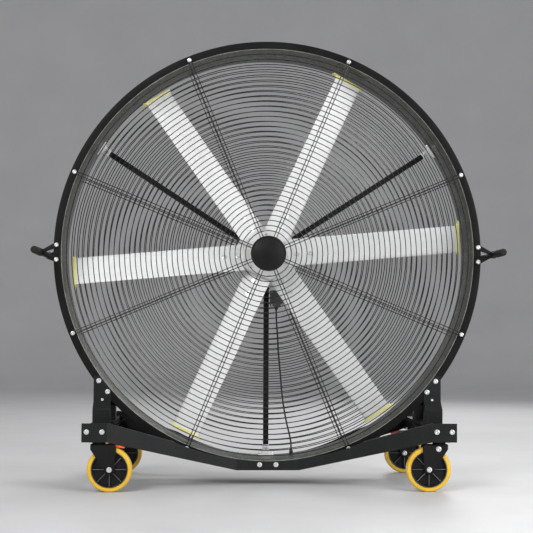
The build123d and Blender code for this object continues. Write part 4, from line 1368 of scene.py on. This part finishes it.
def build_fork(corner, place, hub, swivel):
    """Fork with its race, lock nuts or pedal pin, and the axle bolt."""
    body = f"caster_{corner}"
    fork = bmesh.new()
    add_part(fork, fork_pressing(), place)
    add_lathe(fork, RACE_PROFILE, swivel, 48, closed=True)
    if corner in BRAKED:
        add_tube(fork, [
            place @ Vector((*PEDAL_PIN, face * LEG_OUTER)) for face in BOTH
        ], PEDAL_PIN_RADIUS, sides=20)
    else:
        lock = bmesh.new()
        for face in BOTH:
            add_bolt(lock, facing(place, face, LEG_OUTER, *LOCK_NUT_PLACE), LOCK_NUT)
        finish_piece(f"lock_nuts_{corner}", lock, body, FASTENER)
    finish_piece(f"fork_pressing_{corner}", fork, body, FRAME_PAINT, [f"fork_{corner}"], smooth=40)

    axle = bmesh.new()
    add_part(axle, prism(circle_outline(AXLE_RADIUS), -LEG_OUTER, LEG_OUTER), hub)
    for face in BOTH:
        add_bolt(axle, facing(hub, face, LEG_OUTER), AXLE_BOLT)
        collar = prism(circle_outline(0.0125), 0, 0.0034, bevel=0.0005,
                       holes=[circle_outline(AXLE_RADIUS + 0.0001)])
        add_part(axle, collar, facing(hub, face, 0.0214))
    finish_piece(f"axle_bolt_{corner}", axle, body, FASTENER, [f"axle_{corner}"])


def add_plate(plates, fasteners, swivel):
    """Mounting plate with its dish, king pin and bolts."""
    add_part(plates, prism(PLATE_OUTLINE, PLATE_BOTTOM, PLATE_TOP, bevel=0.001), swivel)
    add_lathe(plates, DISH_PROFILE, swivel, 48)
    add_lathe(plates, KING_PIN_PROFILE, swivel, 24)
    nut = prism(circle_outline(KING_NUT, 6), 0, 0.008, bevel=0.0008,
                holes=[circle_outline(KING_PIN_RADIUS + 0.0001, 24)])
    add_part(fasteners, nut, facing(swivel, -1, -(CROWN_TOP - CROWN_PLATE - 0.0003)))
    for x in BOTH:
        for y in BOTH:
            seat = facing(swivel, -1, -PLATE_BOTTOM, x * PLATE_BOLT_HALF[0], y * PLATE_BOLT_HALF[1])
            add_bolt(fasteners, seat, PLATE_BOLT)
            add_part(fasteners, prism(circle_outline(0.003, 16), 0.0075, 0.012, bevel=0.0005), seat)


plates = bmesh.new()
plate_bolts = bmesh.new()
for corner, (side, end) in CORNERS.items():
    place = caster_place(side, end)
    hub = place @ Matrix.Translation((WHEEL_TRAIL, WHEEL_RADIUS, 0))
    swivel = place_at((side * CASTER_X, end * CASTER_Y, 0))
    add_plate(plates, plate_bolts, swivel)
    build_wheel(corner, hub)
    build_fork(corner, place, hub, swivel)
    if corner in BRAKED:
        pedal = bmesh.new()
        add_part(pedal, pedal_moulding(), place)
        finish_piece(f"pedal_{corner}", pedal, f"pedal_{corner}", PEDAL_PLASTIC,
                     [f"brake_pedal_{corner}"])
finish_piece("caster_top_plates", plates, "frame", FRAME_PAINT, ["caster_plates"])
finish_piece("caster_plate_bolts", plate_bolts, "frame", FASTENER)


# ---------------- floor, light and camera

BACKDROP_RADIUS = 13.0
BACKDROP_HEIGHT = 9.0
BACKDROP_BEND = 4.0
WORLD_COLOUR = (0.93, 0.94, 0.96, 1)
WORLD_STRENGTH = 0.36
LIGHT_TARGET = Vector((0, 0, 1.0))
# Each lamp's name, place, size and power.
LAMPS = (
    ("key", (-3.6, -5.2, 4.6), 3.4, 330),
    ("fill", (4.6, -4.4, 2.6), 3.4, 270),
    ("top", (0.4, 0.6, 5.6), 3.5, 110),
    ("back", (2.2, 5.2, 3.6), 3.0, 130),
)
CAMERA_PLACE = Vector((-0.2390, -6.0881, 0.7350))
CAMERA_YAW = 0.03867  # to the right of the fan's axis
CAMERA_PITCH = 0.04725  # above level
CAMERA_ROLL = 0.00382
FOCAL_PIXELS = 1273.07
PHOTO_WIDTH = 533.0
SENSOR_WIDTH = 36.0


def build_stage():
    """A pale floor that rises into a round backdrop."""
    inner = BACKDROP_RADIUS - BACKDROP_BEND
    profile = [(0, 0)] + [
        (inner + BACKDROP_BEND * sin(angle), BACKDROP_BEND * (1 - cos(angle)))
        for angle in spaced(0, pi / 2, 12)
    ]
    source = bmesh.new()
    add_lathe(source, [*profile, (BACKDROP_RADIUS, BACKDROP_HEIGHT)], UNMOVED)
    floor = mesh_object("studio_floor", source)
    floor.data.shade_smooth()
    floor.data.materials.append(mottled(
        "studio_floor", (0.57, 0.57, 0.575), (0.61, 0.61, 0.615), (0.42, 0.55), (1.5, 4),
        (4.0, 4), [], specular=0.3,
    ))


def build_light():
    """A pale sky and four soft lamps round the fan."""
    world = bpy.data.worlds.new("studio")
    bpy.context.scene.world = world
    world.use_nodes = True
    background = world.node_tree.nodes["Background"]
    background.inputs["Color"].default_value = WORLD_COLOUR
    background.inputs["Strength"].default_value = WORLD_STRENGTH
    for name, location, size, power in LAMPS:
        lamp = bpy.data.lights.new(name, "AREA")
        lamp.shape = "RECTANGLE"
        lamp.size = size
        lamp.size_y = size
        lamp.energy = power
        holder = link_object(name, lamp)
        holder.location = location
        aim = LIGHT_TARGET - Vector(location)
        holder.rotation_euler = aim.to_track_quat("-Z", "Y").to_euler()


def build_camera():
    """The photograph's camera, a little left of the fan and near its lower half."""
    data = bpy.data.cameras.new("photo_camera")
    data.sensor_width = SENSOR_WIDTH
    data.lens = SENSOR_WIDTH * FOCAL_PIXELS / PHOTO_WIDTH
    data.clip_end = 100
    camera = link_object("photo_camera", data)
    camera.location = CAMERA_PLACE
    forward = Vector((
        sin(CAMERA_YAW) * cos(CAMERA_PITCH), cos(CAMERA_YAW) * cos(CAMERA_PITCH),
        sin(CAMERA_PITCH),
    ))
    level = Vector((cos(CAMERA_YAW), -sin(CAMERA_YAW), 0))
    above = level.cross(forward)
    right = level * cos(CAMERA_ROLL) + above * sin(CAMERA_ROLL)
    up = above * cos(CAMERA_ROLL) - level * sin(CAMERA_ROLL)
    camera.rotation_euler = Matrix((right, up, -forward)).transposed().to_euler()
    bpy.context.scene.camera = camera


build_stage()
build_light()
build_camera()
bpy.context.scene.view_settings.view_transform = "Standard"
